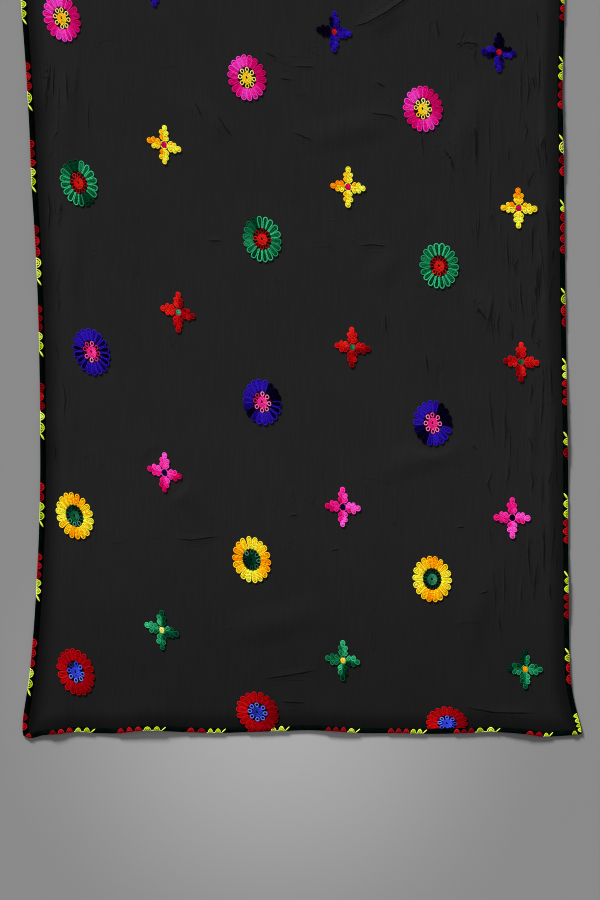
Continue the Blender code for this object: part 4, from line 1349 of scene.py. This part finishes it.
def lay_mounds(work, edge, starts, ends, slot, random):
    """Looped mounds: a rim that stands on the fold and flares by a quarter at its feet,
    a lower arch inside it, and bars from the fold to the rim with small holes between."""
    shape = (len(starts), 1)
    middle, half = (starts + ends)[:, None] / 2, np.abs(ends - starts)[:, None] / 2
    tall = TRIMS[edge].height * random.normal(1, TALL_SCATTER, shape)
    half = half * TRIMS[edge].share * random.normal(1, HALF_SCATTER, shape)
    shade = random.uniform(*MOUND_SHADES, shape)

    def sew(along, deep, above, thick, darker):
        """One cord of each mound, placed from the mound's middle, the fold and the strip."""
        cord = on_strip(edge, middle + along, deep, above)
        work.lay(cord, LACE_CORD * thick, LACE_HIGH, shade - darker, slot, sides=LACE_SIDES)

    turn = np.linspace(0, pi, 15)
    bell = np.cos(turn) * (1 + 0.25 * np.cos(turn) ** 2)
    sew(-half * bell, 0.9 + tall * np.sin(turn), 0.45, 1.0, 0.0)
    turn = np.linspace(0, pi, 9)
    sew(-half * 0.6 * np.cos(turn), 1.1 + tall * 0.55 * np.sin(turn), 0.3, 0.9, 0.1)
    share = np.linspace(0, 1, 4)
    for place in MOUND_BARS:
        lean = place + random.normal(0, BAR_SCATTER, shape)
        reach = tall * np.sqrt(1 - lean**2) * 0.96
        sew(half * lean * (0.6 + 0.4 * share), 1.0 + reach * share, 0.3, 0.72, 0.12)


def lay_leaf(work, edge, starts, runs, random):
    """A flat leaf that slants from the fold to the strip's inner edge."""
    share = np.linspace(0, 1, 8)
    along = starts[:, None] + runs[:, None] * share
    path = on_strip(edge, along, 0.9 + 6.6 * share, 0.35 + 0.1 * np.sin(share * pi))
    fullest = np.where(np.abs(runs[:, None]) > LONG_LEAF, LONG_BROAD, SHORT_BROAD)
    broad = 0.35 + fullest * np.sin(share * pi) ** 0.8
    shade = random.uniform(0.7, 1.0, (len(starts), 1))
    work.lay(path, broad, LACE_HIGH, shade, YELLOW, sides=LACE_SIDES)


def lay_fold_cord(work, edge, starts, ends, slot, shade):
    """A thin cord along the fold, under the mounds of its colour."""
    along = blend(starts[:, None], ends[:, None], np.linspace(0, 1, 14))
    work.lay(on_strip(edge, along, 0.85, -0.1), 0.7, 0.6, shade, slot, sides=LACE_SIDES)


# %% Make the lace of each edge
def make_lace(edge, node):
    """The strip, then the mounds, leaves and cords of each run. A run has as many mounds
    as its length holds pitches."""
    random = np.random.default_rng(len(node))
    work = CordWork()
    lay_strip(work, edge)
    trim = TRIMS[edge]
    mounds, cords, leaves = {RED: [], YELLOW: []}, {RED: [], CREAM: []}, []

    def add_mounds(slot, start, end, count):
        ends = np.linspace(start, end, count + 1)
        mounds[slot] += zip(ends[:-1], ends[1:])

    for run in further_runs(edge, random):
        count = round(abs(run.yellow - run.red) / trim.pitch)
        if count:
            add_mounds(RED, run.red, run.yellow, count)
            cords[RED].append((run.red, run.yellow))
        leaf = np.sign(run.dark - run.red) * trim.leaf
        room = abs(run.dark - run.yellow) - trim.leaf
        if room > LEAST_ROOM:
            add_mounds(YELLOW, run.yellow, run.dark - leaf, max(1, round(room / trim.pitch)))
            cords[CREAM].append((run.yellow, run.dark - leaf))
            leaves.append((run.dark - leaf, leaf))
    for more in CORNER_MOUNDS.get(edge, []):
        add_mounds(*more)
    for slot, found in mounds.items():
        lay_mounds(work, edge, *np.array(found).T, slot, random)
    lay_leaf(work, edge, *np.array(leaves).T, random)
    for slot, shade in ((RED, 0.45), (CREAM, 0.6)):
        lay_fold_cord(work, edge, *np.array(cords[slot]).T, slot, shade)
    piece = work.finish(f"lace_{edge}", [threads[name] for name in LACE_COLOURS])
    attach(piece, "root")
    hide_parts(node)
    return piece


LACE_NODES = {
    "left": "binding_left", "right": "binding_right",
    "near": "binding_near_hem", "far": "binding_far_hem",
}
lace_pieces = [make_lace(edge, node) for edge, node in LACE_NODES.items()]
print({piece.name: len(piece.data.polygons) for piece in lace_pieces})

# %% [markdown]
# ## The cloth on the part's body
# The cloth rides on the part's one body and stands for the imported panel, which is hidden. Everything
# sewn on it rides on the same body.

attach(cloth, "root")
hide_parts("panel")

# %% [markdown]
# ## The table, the light and the camera
# The cloth lies on a plain grey surface, with a painted pool of light below the hem. One soft light
# comes in low from the upper left, so each crease and cord shows, and the shadows fall short and soft
# below the hem and at the right. A grey sky fills them. The camera looks straight down, over the near
# part of the cloth. Colours are shown as they are, without the film curve that would wash out the
# bright thread.

# %% Floor
FLOOR_HALF, FLOOR_DROP = 6.0, 0.0003
FLOOR_GREY = linear(137, 137, 137)
# Painted pool of light on the floor: x and y of its middle and its reach, in metres, and how much
# paler it makes the grey
PAINTED_LIGHT_POOL = (-0.045, 0.065, 0.53)
LIGHT_POOL_GAIN = 0.64


def make_floor():
    """A wide square just under the cloth, with a painted pool of light round one spot by the near hem.
    """
    mesh = bpy.data.meshes.new("floor")
    turns = ((-1, -1), (1, -1), (1, 1), (-1, 1))
    corners = [(x * FLOOR_HALF, y * FLOOR_HALF, -FLOOR_DROP) for x, y in turns]
    mesh.from_pydata(corners, [], [(0, 1, 2, 3)])
    floor = add_object("floor", mesh)
    finish = Finish("floor", {"Roughness": 0.95, "Specular IOR Level": 0.1})
    place = finish.own_place()
    x, along, reach = PAINTED_LIGHT_POOL
    middle = (x, along - MIDDLE[1] * MM, 0.0)
    aside = finish.add("ShaderNodeVectorMath", {"operation": "SUBTRACT"}, {0: place, 1: middle})
    far = finish.add("ShaderNodeVectorMath", {"operation": "LENGTH"}, {0: aside}, "Value")
    # Painted pool of light: the grey is paler towards the spot
    tone = 0.98 + (1.0 - far.ramp(0.0, reach)) * LIGHT_POOL_GAIN + finish.noise(place, 3.0) * 0.04
    finish.feed(Base_Color=finish.plain(FLOOR_GREY).scaled(tone))
    mesh.materials.append(finish.material)


make_floor()

# %% Light
SUN_HEIGHT, SUN_SIDE = radians(22), radians(117)
SUN_STRENGTH, SUN_SPREAD = 5.64, radians(13)
SKY_STRENGTH = 0.34

sun_data = bpy.data.lights.new("window", "SUN")
sun_data.energy = SUN_STRENGTH
sun_data.angle = SUN_SPREAD
sun = add_object("window", sun_data)
sun.rotation_euler = (0, pi / 2 - SUN_HEIGHT, SUN_SIDE)
world = bpy.data.worlds.new("sky")
bpy.context.scene.world = world
world.use_nodes = True
sky = world.node_tree.nodes["Background"].inputs
sky["Color"].default_value = (1.0, 1.0, 1.0, 1.0)
sky["Strength"].default_value = SKY_STRENGTH
bpy.context.scene.view_settings.view_transform = "Standard"
bpy.context.scene.cycles.filter_width = 1.0

# %% Camera
PIXEL = 1.712
PHOTO_SIZE = (600, 900)
PHOTO_MIDDLE_LINE, PHOTO_NEAR_HEM = 302, 735
SENSOR, LENS = 36.0, 85.0

camera_data = bpy.data.cameras.new("camera")
camera_data.sensor_width = SENSOR
camera_data.lens = LENS
camera = add_object("camera", camera_data)
above = PHOTO_SIZE[1] * PIXEL * LENS / SENSOR + WALL
centre_x = (PHOTO_SIZE[0] / 2 - PHOTO_MIDDLE_LINE) * PIXEL - MIDDLE[0]
centre_y = (PHOTO_NEAR_HEM - PHOTO_SIZE[1] / 2) * PIXEL - MIDDLE[1]
camera.location = (centre_x * MM, centre_y * MM, above * MM)
bpy.context.scene.camera = camera
print(f"camera {above * MM:.3f} m above the cloth")
